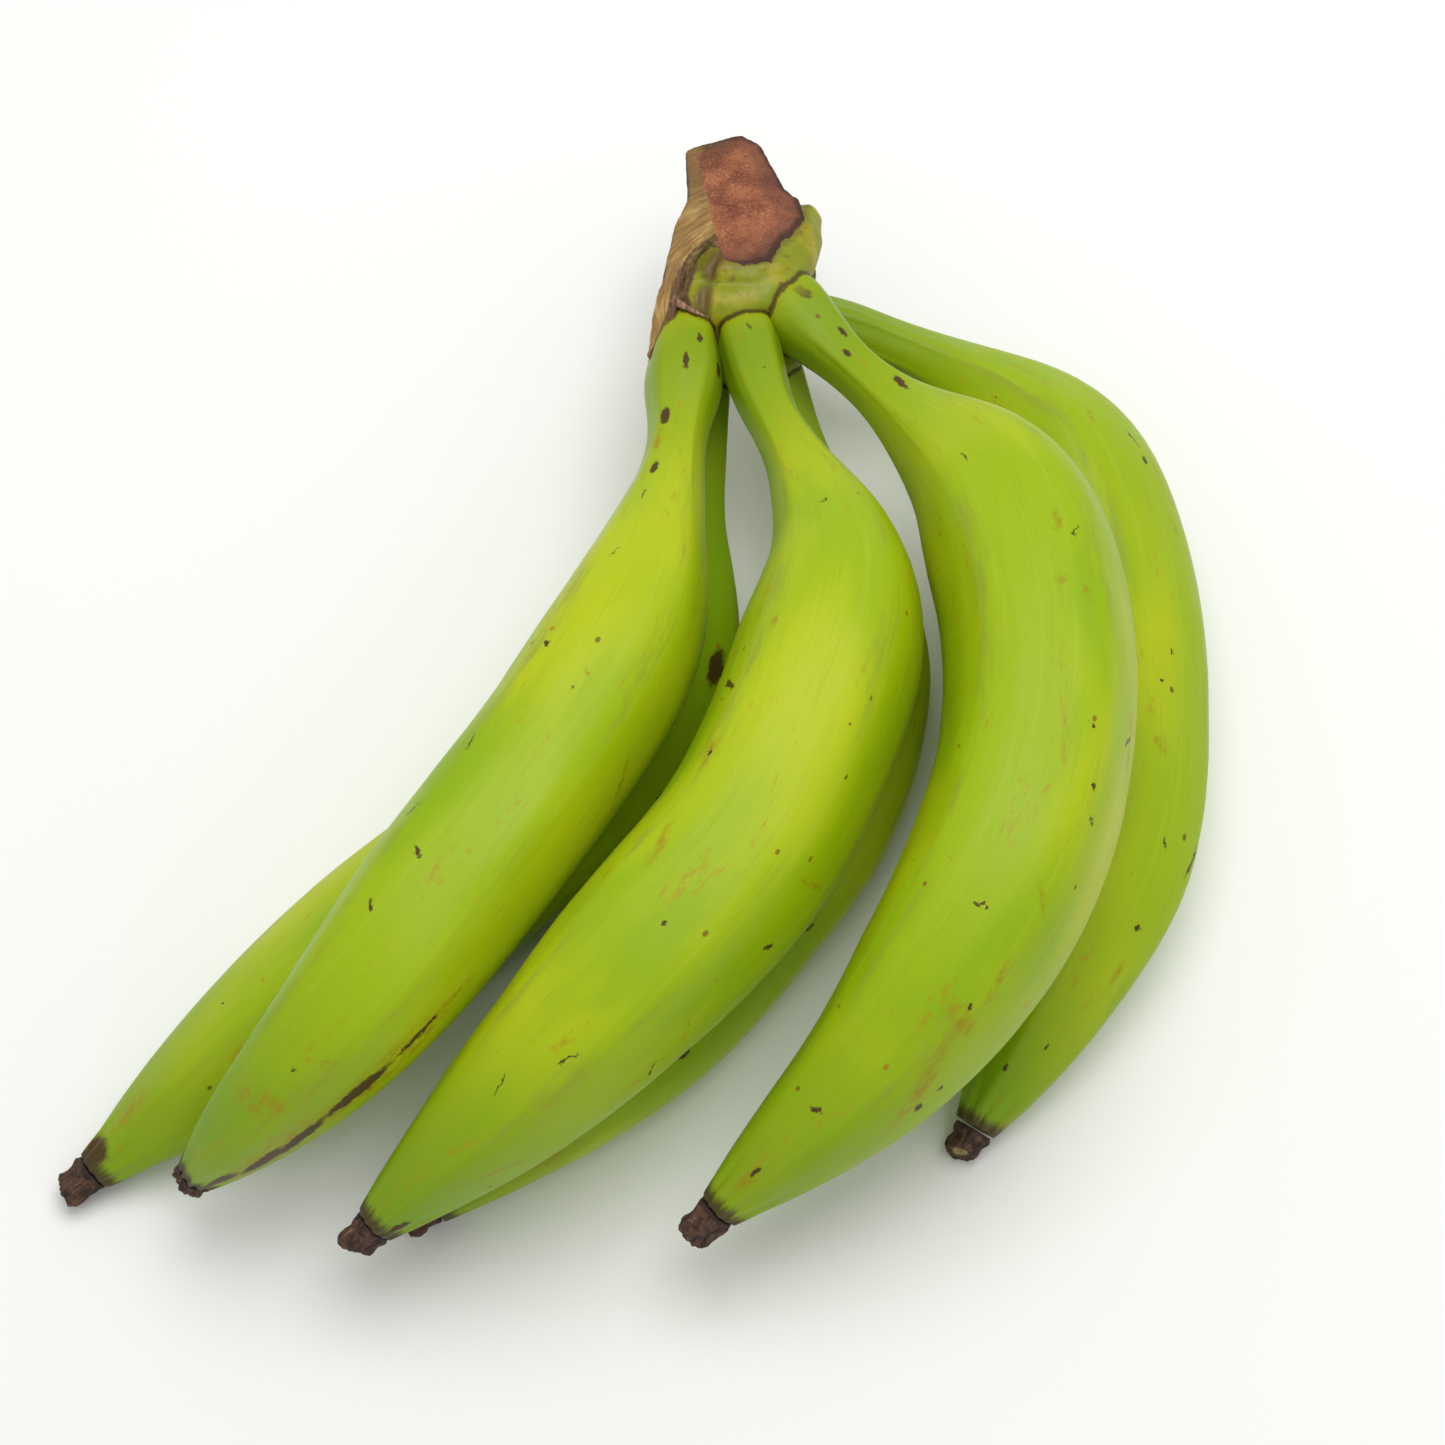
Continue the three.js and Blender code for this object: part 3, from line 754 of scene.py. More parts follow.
steps = [np.arange(start, stop, GRAIN) for start, stop in ROOM]
points, faces = wrap(carve(np.stack(np.meshgrid(*steps, indexing="ij"), axis=-1)))
carved = points * GRAIN + [start for start, _ in ROOM]
crown = new_piece("cut_crown", CROWN_LOW + carved * MM, faces.tolist())

fibres = fibre_places(carved)
inside_cut = np.minimum(-from_outline(carved[:, 0], carved[:, 1], CUT), 6 * (above_cut(carved) + 0.9))
inside_rim = -from_outline(carved[:, 0], carved[:, 1], RIM)
on_flap = 0.9 - from_roll(carved, FLAP, 2.6, (-0.42, 0.05, 0.9))
on_torn_side = np.minimum(-from_outline(carved[:, 0], carved[:, 1], TORN), above_torn(carved) + 1.3)
inside_torn = np.maximum(on_torn_side, on_flap)
to_lip = np.minimum(from_roll(carved, LIP), from_roll(carved, SIDE_LIP))
on_dry = 0.7 - np.minimum(from_roll(carved, SIDE_FLAP, 2.6, (0.5, -0.4, 0.75)), from_roll(carved, DRY_LIP))
to_fold = from_roll(carved, FOLD)
walls = np.maximum(carved[:, 1] - 43.5, np.minimum(11 - carved[:, 0], carved[:, 2] - 21))
necks = [tree_of(fingers[place]["piece"], 0.06) for place in PLACES]
to_neck = nearest_skin(CROWN_LOW + carved * MM, necks)

# grains stand up on the dried cut, strands on the torn side, and the rind has soft dimples
cut_share, torn_share = band(inside_cut, -0.2, 0.8), band(inside_torn, 0.0, 1.0)
rough = field(carved, 1.5, 3) * 0.16 + field(carved, 6.0, 4) * 0.35
strands = field(fibres / MM / [9.0, 0.9, 3.0], 1.0, 5) * 0.22 + field(carved, 5.0, 6) * 0.3
dimples = field(carved, 5.0, 7) * 0.22 + field(carved, 1.4, 8) * 0.05
relief = cut_share * rough + (1 - cut_share) * (torn_share * strands + (1 - torn_share) * dimples)
ragged = np.exp(-(to_lip / 0.9) ** 2)
relief += ragged * field(carved, 1.1, 9) * 0.35
outwards = np.zeros(len(carved) * 3)
crown.data.vertices.foreach_get("normal", outwards)
carved = carved + outwards.reshape(-1, 3) * relief[:, None]
placed = CROWN_LOW + carved * MM
placed[:, 1] = np.minimum(placed[:, 1], cad_box[1][1] - 0.1 * MM)
crown.data.vertices.foreach_set("co", placed.ravel())
crown.data.update()
for name, values in {"inside_cut": inside_cut, "inside_rim": inside_rim, "inside_torn": inside_torn,
                     "to_lip": to_lip, "on_dry": on_dry,
                     "to_fold": to_fold, "walls": walls, "to_neck": to_neck}.items():
    keep_on(crown.data, name, np.clip(values, -50, 50))
keep_on(crown.data, "fibres", fibres)

# each neck keeps its distance from the crown, where a brown crease runs round it
crown_tree = tree_of(crown)
for place in PLACES:
    skin = fingers[place]["piece"]
    corners = np.zeros(len(skin.data.vertices) * 3)
    skin.data.vertices.foreach_get("co", corners)
    corners = corners.reshape(-1, 3)
    away = np.full(len(corners), 50.0)
    close = np.linalg.norm(corners - CROWN_LOW - np.array([22, 30, 20]) * MM, axis=1) < 60 * MM
    away[close] = nearest_skin(corners[close], [crown_tree])
    keep_on(skin.data, "to_crown", away)

# Stalk of a banana bunch, knife-cut and dried. The cut is matt and grainy red-brown with darker
# blotches, the torn side shows pale tan strands with brown between them, and the rind is still
# waxy olive, browned in its folds.
stalk = bpy.data.materials.new("banana stalk, knife-cut and dried, with green rind")
stalk.use_nodes = True
stub = stalk.node_tree
stub.nodes.clear()
place_at = add(stub, "ShaderNodeTexCoord").outputs["Object"]
strand_at = add(stub, "ShaderNodeAttribute", attribute_name="fibres").outputs["Vector"]
in_cut = add(stub, "ShaderNodeAttribute", attribute_name="inside_cut").outputs["Fac"]
in_rim = add(stub, "ShaderNodeAttribute", attribute_name="inside_rim").outputs["Fac"]
in_torn = add(stub, "ShaderNodeAttribute", attribute_name="inside_torn").outputs["Fac"]
lip_far = add(stub, "ShaderNodeAttribute", attribute_name="to_lip").outputs["Fac"]
dry_in = add(stub, "ShaderNodeAttribute", attribute_name="on_dry").outputs["Fac"]
fold_far = add(stub, "ShaderNodeAttribute", attribute_name="to_fold").outputs["Fac"]
wall_in = add(stub, "ShaderNodeAttribute", attribute_name="walls").outputs["Fac"]
neck_far = add(stub, "ShaderNodeAttribute", attribute_name="to_neck").outputs["Fac"]

# noise at three sizes serves every part: 0.6 mm grains, 2.5 mm flecks and 8 mm blotches
grain_at = add(stub, "ShaderNodeMapping", {0: place_at}, in_Scale=per_mm(0.6, 0.6))
grains = add(stub, "ShaderNodeTexNoise", {0: grain_at}, in_Scale=1, in_Detail=3, in_Roughness=0.65)
fleck_at = add(stub, "ShaderNodeMapping", {0: place_at}, in_Scale=per_mm(2.5, 2.5))
flecks = add(stub, "ShaderNodeTexNoise", {0: fleck_at}, in_Scale=1, in_Detail=5, in_Roughness=0.65)
blotch_at = add(stub, "ShaderNodeMapping", {0: place_at}, in_Scale=per_mm(8, 8))
blotches = add(stub, "ShaderNodeTexNoise", {0: blotch_at}, in_Scale=1, in_Detail=3, in_Roughness=0.55)

# olive rind, yellower in patches, with small brown nicks
yellow = add(stub, "ShaderNodeMapRange", {0: blotches}, **STEP, in_1=0.44, in_2=0.62)
rind = add(stub, "ShaderNodeMix", {0: yellow}, data_type="RGBA", in_6=srgb("878E08"),
           in_7=srgb("A6980A")).outputs[2]
greener = add(stub, "ShaderNodeMapRange", {0: neck_far}, **STEP, in_1=4.0, in_2=0.5, in_4=0.3)
rind = add(stub, "ShaderNodeMix", {0: greener, 6: rind}, data_type="RGBA", in_7=srgb("7A980C")).outputs[2]
nick = add(stub, "ShaderNodeMapRange", {0: flecks}, **STEP, in_1=0.56, in_2=0.7, in_4=0.6)
rind = add(stub, "ShaderNodeMix", {0: nick, 6: rind}, data_type="RGBA", in_7=srgb("6E5A14")).outputs[2]
beside = add(stub, "ShaderNodeMath", {0: flecks, 2: in_rim}, operation="MULTIPLY_ADD", in_1=5.0)
by_cut = add(stub, "ShaderNodeMapRange", {0: beside}, **STEP, in_1=-0.2, in_2=2.6, in_4=0.6)
rind = add(stub, "ShaderNodeMix", {0: by_cut, 6: rind}, data_type="RGBA", in_7=srgb("5E5210")).outputs[2]
bruise = add(stub, "ShaderNodeMath", {0: blotches, 2: fold_far}, operation="MULTIPLY_ADD", in_1=-3.0)
bruised = add(stub, "ShaderNodeMapRange", {0: bruise}, **STEP, in_1=0.3, in_2=-1.4, in_4=0.85)
rind = add(stub, "ShaderNodeMix", {0: bruised, 6: rind}, data_type="RGBA", in_7=srgb("5E4416")).outputs[2]
seam = add(stub, "ShaderNodeMath", {0: flecks, 2: neck_far}, operation="MULTIPLY_ADD", in_1=-1.2)
seamed = add(stub, "ShaderNodeMapRange", {0: seam}, **STEP, in_1=0.5, in_2=-0.3, in_4=0.9)
rind = add(stub, "ShaderNodeMix", {0: seamed, 6: rind}, data_type="RGBA", in_7=srgb("4E3A18")).outputs[2]
wall_edge = add(stub, "ShaderNodeMath", {0: blotches, 2: wall_in}, operation="MULTIPLY_ADD", in_1=6.0)
walled = add(stub, "ShaderNodeMapRange", {0: wall_edge}, **STEP, in_1=2.5, in_2=4.5)
bark = add(stub, "ShaderNodeMapRange", {0: flecks}, **STEP, in_1=0.35, in_2=0.65)
wall = add(stub, "ShaderNodeMix", {0: bark}, data_type="RGBA", in_6=srgb("2E2118"),
           in_7=srgb("6A5034")).outputs[2]
colour = add(stub, "ShaderNodeMix", {0: walled, 6: rind, 7: wall}, data_type="RGBA").outputs[2]

# tan strands of the torn side, browner towards its back end
thread_at = add(stub, "ShaderNodeMapping", {0: strand_at}, in_Scale=(1000 / 9, 1000 / 0.7, 1000 / 4))
threads = add(stub, "ShaderNodeTexNoise", {0: thread_at}, in_Scale=1, in_Detail=4, in_Roughness=0.6)
pale = add(stub, "ShaderNodeMapRange", {0: threads}, **STEP, in_1=0.38, in_2=0.62)
torn = add(stub, "ShaderNodeMix", {0: pale}, data_type="RGBA", in_6=srgb("94713C"),
           in_7=srgb("C4A263")).outputs[2]
browner = add(stub, "ShaderNodeMapRange", {0: blotches}, **STEP, in_1=0.4, in_2=0.62, in_4=0.6)
torn = add(stub, "ShaderNodeMix", {0: browner, 6: torn}, data_type="RGBA", in_7=srgb("8A6638")).outputs[2]
back = add(stub, "ShaderNodeSeparateXYZ", {0: place_at}).outputs[1]
far_back = add(stub, "ShaderNodeMapRange", {0: back}, **STEP, in_1=CROWN_LOW[1] + 36 * MM,
               in_2=CROWN_LOW[1] + 50 * MM, in_4=0.75)
torn = add(stub, "ShaderNodeMix", {0: far_back, 6: torn}, data_type="RGBA", in_7=srgb("7C5A36")).outputs[2]
torn_edge = add(stub, "ShaderNodeMath", {0: flecks, 2: in_torn}, operation="MULTIPLY_ADD", in_1=-1.5)
torn_rim = add(stub, "ShaderNodeMapRange", {0: torn_edge}, **STEP, in_1=0.6, in_2=-0.6, in_4=0.8)
torn = add(stub, "ShaderNodeMix", {0: torn_rim, 6: torn}, data_type="RGBA", in_7=srgb("4A3422")).outputs[2]
torn_in = add(stub, "ShaderNodeMapRange", {0: torn_edge}, **STEP, in_1=-1.0, in_2=-0.5)
colour = add(stub, "ShaderNodeMix", {0: torn_in, 6: colour, 7: torn}, data_type="RGBA").outputs[2]

# withered flaps: pinkish brown with pale strands
withered = add(stub, "ShaderNodeMix", {0: pale}, data_type="RGBA", in_6=srgb("5C3E2C"),
               in_7=srgb("A87F62")).outputs[2]
dry_edge = add(stub, "ShaderNodeMapRange", {0: dry_in}, **STEP, in_1=0.0, in_2=0.5)
colour = add(stub, "ShaderNodeMix", {0: dry_edge, 6: colour, 7: withered}, data_type="RGBA").outputs[2]
lip_line = add(stub, "ShaderNodeMath", {0: flecks, 2: lip_far}, operation="MULTIPLY_ADD", in_1=1.2)
lipped = add(stub, "ShaderNodeMapRange", {0: lip_line}, **STEP, in_1=1.2, in_2=0.3, in_4=0.85)
lip = add(stub, "ShaderNodeMix", {0: pale}, data_type="RGBA", in_6=srgb("3E2A1E"),
          in_7=srgb("7E5C3E")).outputs[2]
colour = add(stub, "ShaderNodeMix", {0: lipped, 6: colour, 7: lip}, data_type="RGBA").outputs[2]

# the dried cut
light = add(stub, "ShaderNodeMapRange", {0: blotches}, **STEP, in_1=0.38, in_2=0.64)
cut = add(stub, "ShaderNodeMix", {0: light}, data_type="RGBA", in_6=srgb("804830"),
          in_7=srgb("AA6844")).outputs[2]
pale_grain = add(stub, "ShaderNodeMapRange", {0: grains}, **STEP, in_1=0.52, in_2=0.72, in_4=0.5)
cut = add(stub, "ShaderNodeMix", {0: pale_grain, 6: cut}, data_type="RGBA", in_7=srgb("CC9A74")).outputs[2]
dark_grain = add(stub, "ShaderNodeMapRange", {0: grains}, **STEP, in_1=0.46, in_2=0.3, in_4=0.6)
cut = add(stub, "ShaderNodeMix", {0: dark_grain, 6: cut}, data_type="RGBA", in_7=srgb("4E2A1E")).outputs[2]
stain = add(stub, "ShaderNodeMapRange", {0: flecks}, **STEP, in_1=0.56, in_2=0.7, in_4=0.45)
cut = add(stub, "ShaderNodeMix", {0: stain, 6: cut}, data_type="RGBA", in_7=srgb("55301F")).outputs[2]
cut_edge = add(stub, "ShaderNodeMath", {0: flecks, 2: in_cut}, operation="MULTIPLY_ADD", in_1=-3.0)
rim_edge = add(stub, "ShaderNodeMath", {0: flecks, 2: in_rim}, operation="MULTIPLY_ADD", in_1=-3.0)
deeper = add(stub, "ShaderNodeMapRange", {0: rim_edge}, **STEP, in_1=7.0, in_2=0.5, in_4=0.6)
cut = add(stub, "ShaderNodeMix", {0: deeper, 6: cut}, data_type="RGBA", in_7=srgb("5E3A30")).outputs[2]
rimmed = add(stub, "ShaderNodeMapRange", {0: rim_edge}, **STEP, in_1=0.9, in_2=-0.7, in_4=0.85)
cut = add(stub, "ShaderNodeMix", {0: rimmed, 6: cut}, data_type="RGBA", in_7=srgb("3C2820")).outputs[2]
cut_in = add(stub, "ShaderNodeMapRange", {0: cut_edge}, **STEP, in_1=-1.9, in_2=-1.4)
colour = add(stub, "ShaderNodeMix", {0: cut_in, 6: colour, 7: cut}, data_type="RGBA").outputs[2]

dead = add(stub, "ShaderNodeMath", {0: cut_in, 1: torn_in}, operation="MAXIMUM")
dead = add(stub, "ShaderNodeMath", {0: dead, 1: walled}, operation="MAXIMUM")
dull = add(stub, "ShaderNodeMapRange", {0: dead}, in_3=0.46, in_4=0.86)
cut_grain = add(stub, "ShaderNodeMath", {0: grains, 1: cut_in}, operation="MULTIPLY")
torn_grain = add(stub, "ShaderNodeMath", {0: threads, 1: torn_in}, operation="MULTIPLY")
height = add(stub, "ShaderNodeMath", {0: cut_grain, 1: torn_grain}, operation="MAXIMUM")
height = add(stub, "ShaderNodeMath", {0: flecks, 2: height}, operation="MULTIPLY_ADD", in_1=0.25)
raised = add(stub, "ShaderNodeBump", {"Height": height}, in_Strength=0.7, in_Distance=0.0006)
surface = add(stub, "ShaderNodeBsdfPrincipled",
              {"Base Color": colour, "Roughness": dull, "Normal": raised}, in_IOR=1.45)
add(stub, "ShaderNodeOutputMaterial", {"Surface": surface})
crown.data.materials.append(stalk)
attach(crown, "root")
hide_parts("crown")

# ---------------------------------------------------------------- the flower ends
# What is left of each banana's flower: a short stub, dead and dry, with five blunt corners like the
# fruit. It withered where it stood, so it is puckered lengthwise, lumpy, and broken off at a slant
# round a little hollow that shows the paler pith.
STUB_AROUND, STUB_ALONG, HOLLOW_ROWS = 66, 26, 9  # faces round it and along it, and those of its hollow
HOLLOW_DEEP = 1.7 * MM
STUB_ROOM = 0.1 * MM  # between a stub and its banana
STUB_LEAST = 3.5 * MM  # the least half thickness read off the plain stub, whose ends close to a point
STUB_PLAY = 0.3 * MM  # what the two ends of the plain stub lose
# For each: its length as a share of the plain stub's, how much of its end it lost at which turn, how lumpy
# it is in mm, and how pale its pith is
STUBS = {
    "front_right": (0.98, 0.12, 200, 0.55, 0.15),
    "front_middle": (0.98, 0.3, 250, 0.45, 0.95),
    "front_left": (0.55, 0.35, 60, 0.5, 0.1),
    "back_right": (0.9, 0.35, 330, 0.45, 0.9),
    "back_middle": (0.85, 0.25, 160, 0.5, 0.5),
    "back_left": (0.98, 0.2, 90, 0.6, 0.35),
}
stubs = {}
for number, place in enumerate(PLACES):
    corners, _, tree = node_shape(f"flower_end_{place}")
    tip = fingers[place]["line"][-1]
    heading = corners.mean(axis=0) - tip
    heading /= np.linalg.norm(heading)
    begins, ends = ((corners - tip) @ heading).min(), ((corners - tip) @ heading).max()
    part, lost, lost_at, lumpy, pith = STUBS[place]
    rows = np.linspace(0, 1, STUB_ALONG)
    stub_long = ends - begins - STUB_PLAY
    down = begins + STUB_ROOM + rows * stub_long
    reach, turns = cast_sections(tree, tip + down[:, None] * heading, STUB_AROUND)
    reach = np.real(np.fft.irfft(round_waves(reach, 5), STUB_AROUND, axis=1))
    reach = soften(np.maximum(reach, STUB_LEAST), 3)

    # a collar at the peel, a shrunken waist, then the frayed mouth
    waist = 1 - 0.13 * np.exp(-((rows - 0.42) / 0.2) ** 2) - 0.1 * band(rows, 0.85, 1.0)
    outer = reach * waist[:, None] * 0.95
    inner_share = np.linspace(0.86, 0.12, HOLLOW_ROWS)
    inner = outer[-1][None, :] * inner_share[:, None]
    sink = HOLLOW_DEEP * np.sin(np.linspace(0.15, 1, HOLLOW_ROWS) * math.pi / 2)
    radius = np.concatenate([outer, inner])
    turn = np.ones(len(radius))[:, None] * turns
    share = np.concatenate([rows, np.ones(HOLLOW_ROWS)])[:, None] * np.ones(STUB_AROUND)
    short = 1 - lost * (0.5 + 0.5 * np.cos(turn - math.radians(lost_at)))
    place_down = begins + STUB_ROOM + share * part * stub_long * (1 - (1 - short) * share)
    place_down[STUB_ALONG:] -= sink[:, None]
    flat = np.stack([radius * np.sin(turn), radius * np.cos(turn), place_down + number * APART],
                    axis=-1).reshape(-1, 3)
    free = np.concatenate([band(rows, 0.0, 0.15), np.full(HOLLOW_ROWS, 0.6)])[:, None]
    lumps = field(flat, 0.0035, number + 60).reshape(radius.shape) * lumpy * MM
    drift = field(flat, 0.006, number + 70).reshape(radius.shape)
    creases = 0.28 * MM * np.sin(turn * 13 + 3 * drift + number)
    cornered = 0.3 * MM * np.cos(turn * RIDGES - RIDGES * RIDGE_TURN[place.split("_")[0]])
    radius = np.maximum(radius + (lumps + creases + cornered) * free, 0.3 * MM)
    mouth = field(flat, 0.0022, number + 80).reshape(radius.shape) * 0.5 * MM
    place_down += mouth * share ** 6

    side, top = across_and_top(np.array([tip, tip + heading]))
    centre = tip + place_down[..., None] * heading
    points = centre + (radius * np.sin(turn))[..., None] * side[0]
    points = points + (radius * np.cos(turn))[..., None] * top[0]
    end_points = [tip + begins * heading, tip + (place_down[-1].mean() - 0.1 * MM) * heading]
    points = np.concatenate([points.reshape(-1, 3), end_points])
    points = np.clip(points, np.array(cad_box[0]) + BOX_EDGE, np.array(cad_box[1]) - BOX_EDGE)
    stub_piece = new_piece(f"flower_stub_{place}", points, tube_faces(len(turn), STUB_AROUND))
    inwards = np.concatenate([np.zeros(STUB_ALONG), np.linspace(0.15, 1, HOLLOW_ROWS)])
    inwards = inwards[:, None] * np.ones(STUB_AROUND)
    keep_on(stub_piece.data, "down", np.append(share.ravel(), [0, 1]))
    keep_on(stub_piece.data, "inwards", np.append((inwards * pith).ravel(), [0, pith]))
    keep_on(stub_piece.data, "turned", np.concatenate([flat, [[0, 0, number * APART]] * 2]))
    stubs[place] = stub_piece

# Flower end, dead and dried hard on the fruit. It is dull and dark brown, nearly black in its creases
# and at the collar, with greyish tan where the fibres rubbed bare, and straw-coloured pith inside.
withered_end = bpy.data.materials.new("dried flower end, withered on the fruit")
withered_end.use_nodes = True
dry = withered_end.node_tree
dry.nodes.clear()
end_at = add(dry, "ShaderNodeAttribute", attribute_name="turned").outputs["Vector"]
down_at = add(dry, "ShaderNodeAttribute", attribute_name="down").outputs["Fac"]
pith_at = add(dry, "ShaderNodeAttribute", attribute_name="inwards").outputs["Fac"]
crease_at = add(dry, "ShaderNodeMapping", {0: end_at}, in_Scale=per_mm(0.9, 5))
crease = add(dry, "ShaderNodeTexNoise", {0: crease_at}, in_Scale=1, in_Detail=4, in_Roughness=0.65)
lump_at = add(dry, "ShaderNodeMapping", {0: end_at}, in_Scale=per_mm(2.4, 2.4))
lump = add(dry, "ShaderNodeTexNoise", {0: lump_at}, in_Scale=1, in_Detail=4, in_Roughness=0.6)
browned = add(dry, "ShaderNodeMapRange", {0: lump}, **STEP, in_1=0.38, in_2=0.62)
brown = add(dry, "ShaderNodeMix", {0: browned}, data_type="RGBA", in_6=srgb("37241C"),
            in_7=srgb("5E4132")).outputs[2]
bare = add(dry, "ShaderNodeMapRange", {0: crease}, **STEP, in_1=0.56, in_2=0.7, in_4=0.6)
brown = add(dry, "ShaderNodeMix", {0: bare, 6: brown}, data_type="RGBA", in_7=srgb("967A62")).outputs[2]
deep = add(dry, "ShaderNodeMapRange", {0: crease}, **STEP, in_1=0.46, in_2=0.34, in_4=0.85)
brown = add(dry, "ShaderNodeMix", {0: deep, 6: brown}, data_type="RGBA", in_7=srgb("1E1410")).outputs[2]
collar_edge = add(dry, "ShaderNodeMath", {0: lump, 2: down_at}, operation="MULTIPLY_ADD", in_1=0.3)
collar = add(dry, "ShaderNodeMapRange", {0: collar_edge}, **STEP, in_1=0.34, in_2=0.22, in_4=0.7)
brown = add(dry, "ShaderNodeMix", {0: collar, 6: brown}, data_type="RGBA", in_7=srgb("2A1A16")).outputs[2]
pith_edge = add(dry, "ShaderNodeMath", {0: lump, 2: pith_at}, operation="MULTIPLY_ADD", in_1=-0.5)
pithy = add(dry, "ShaderNodeMapRange", {0: pith_edge}, **STEP, in_1=-0.05, in_2=0.25, in_4=0.9)
brown = add(dry, "ShaderNodeMix", {0: pithy, 6: brown}, data_type="RGBA", in_7=srgb("B09C62")).outputs[2]
matt = add(dry, "ShaderNodeMapRange", {0: lump}, in_3=0.6, in_4=0.9)
puckered = add(dry, "ShaderNodeBump", {"Height": crease}, in_Strength=0.8, in_Distance=0.0006)
husk = add(dry, "ShaderNodeBsdfPrincipled", {"Base Color": brown, "Roughness": matt, "Normal": puckered},
           in_IOR=1.45)
add(dry, "ShaderNodeOutputMaterial", {"Surface": husk})
for place, stub_piece in stubs.items():
    stub_piece.data.materials.append(withered_end)
    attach(stub_piece, "root")
    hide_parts(f"flower_end_{place}")

# ---------------------------------------------------------------- dry fibres
# Stalk and flower ends are full of tough threads. Where the stalk tore, and at the broken mouths of
# the flower ends, their dry ends stand up as short bent hairs.
fray = bpy.data.node_groups.new("dry fibres", "GeometryNodeTree")
fray.interface.new_socket("Geometry", in_out="INPUT", socket_type="NodeSocketGeometry")
fray.interface.new_socket("Density", in_out="INPUT", socket_type="NodeSocketFloat")
fray.interface.new_socket("Length", in_out="INPUT", socket_type="NodeSocketFloat")
fray.interface.new_socket("Thickness", in_out="INPUT", socket_type="NodeSocketFloat")
fray.interface.new_socket("Seed", in_out="INPUT", socket_type="NodeSocketInt")
fray.interface.new_socket("Material", in_out="INPUT", socket_type="NodeSocketMaterial")
fray.interface.new_socket("Geometry", in_out="OUTPUT", socket_type="NodeSocketGeometry")
given = add(fray, "NodeGroupInput")
frayed = add(fray, "GeometryNodeInputNamedAttribute", data_type="FLOAT",
             in_Name="frayed").outputs["Attribute"]
density = add(fray, "ShaderNodeMath", {0: frayed, 1: given.outputs["Density"]}, operation="MULTIPLY")
seed = given.outputs["Seed"]
roots = add(fray, "GeometryNodeDistributePointsOnFaces",
            {"Mesh": given.outputs["Geometry"], "Density": density, "Seed": seed},
            distribute_method="RANDOM")
bent = add(fray, "GeometryNodeCurveQuadraticBezier", in_Resolution=4, in_Start=(0, 0, -0.15),
           in_Middle=(0.1, 0, 0.55), in_End=(0.75, 0, 0.6))
along_hair = add(fray, "GeometryNodeSplineParameter").outputs["Factor"]
taper = add(fray, "ShaderNodeMapRange", {0: along_hair}, in_3=1.0, in_4=0.3)
thick = add(fray, "ShaderNodeMath", {0: taper, 1: given.outputs["Thickness"]}, operation="MULTIPLY")
hair_round = add(fray, "GeometryNodeCurvePrimitiveCircle", in_Resolution=3, in_Radius=1.0)
hair = add(fray, "GeometryNodeCurveToMesh", {"Curve": bent, "Profile Curve": hair_round, "Scale": thick},
           in_Fill_Caps=True)
swing = add(fray, "FunctionNodeRandomValue", {"Seed": seed}, data_type="FLOAT_VECTOR",
            in_0=(-0.7, -0.7, 0), in_1=(0.7, 0.7, 2 * math.pi)).outputs[0]
heading_of = add(fray, "FunctionNodeRotateRotation", {0: roots.outputs["Rotation"], 1: swing},
                 rotation_space="LOCAL")
drawn = add(fray, "FunctionNodeRandomValue", {"Seed": seed}, data_type="FLOAT", in_2=0.35,
            in_3=1.0).outputs[1]
hair_size = add(fray, "ShaderNodeMath", {0: drawn, 1: given.outputs["Length"]}, operation="MULTIPLY")
hairs = add(fray, "GeometryNodeInstanceOnPoints",
            {"Points": roots, "Instance": hair, "Rotation": heading_of, "Scale": hair_size})
solid_hairs = add(fray, "GeometryNodeRealizeInstances", {0: hairs})
coloured = add(fray, "GeometryNodeSetMaterial", {0: solid_hairs, "Material": given.outputs["Material"]})
add(fray, "NodeGroupOutput", {0: coloured})

# Banana fibre, torn and dried. Thin straw-brown threads, darker where dirt and dried sap stuck to them.
fibre = bpy.data.materials.new("banana fibre, torn and dried")
fibre.use_nodes = True
thread = fibre.node_tree
thread.nodes.clear()
thread_place = add(thread, "ShaderNodeTexCoord").outputs["Object"]
dirt_at = add(thread, "ShaderNodeMapping", {0: thread_place}, in_Scale=per_mm(1.5, 1.5))
dirt = add(thread, "ShaderNodeTexNoise", {0: dirt_at}, in_Scale=1, in_Detail=3, in_Roughness=0.6)
dirty = add(thread, "ShaderNodeMapRange", {0: dirt}, **STEP, in_1=0.4, in_2=0.62)
straw = add(thread, "ShaderNodeMix", {0: dirty}, data_type="RGBA", in_6=srgb("A88458"),
            in_7=srgb("5A3E28")).outputs[2]
furry = add(thread, "ShaderNodeMapRange", {0: dirt}, in_3=0.65, in_4=0.9)
strand_surface = add(thread, "ShaderNodeBsdfPrincipled", {"Base Color": straw, "Roughness": furry},
                     in_IOR=1.5)
add(thread, "ShaderNodeOutputMaterial", {"Surface": strand_surface})

# on the torn lips of the crown, and thinly round its cut; none at its far end
towards_far_end = band(carved[:, 1], 60, 55)
at_lip = np.exp(-(to_lip / 0.8) ** 2)
at_rim = 0.5 * np.exp(-((inside_rim - 0.3) / 0.8) ** 2) * (inside_cut > 0)
keep_on(crown.data, "frayed", np.maximum(at_lip, at_rim) * towards_far_end)
for place, stub_piece in stubs.items():
    mouth_at = np.zeros(len(stub_piece.data.vertices))
    mouth_at[(STUB_ALONG - 2) * STUB_AROUND:(STUB_ALONG + 2) * STUB_AROUND] = 1
    keep_on(stub_piece.data, "frayed", mouth_at)

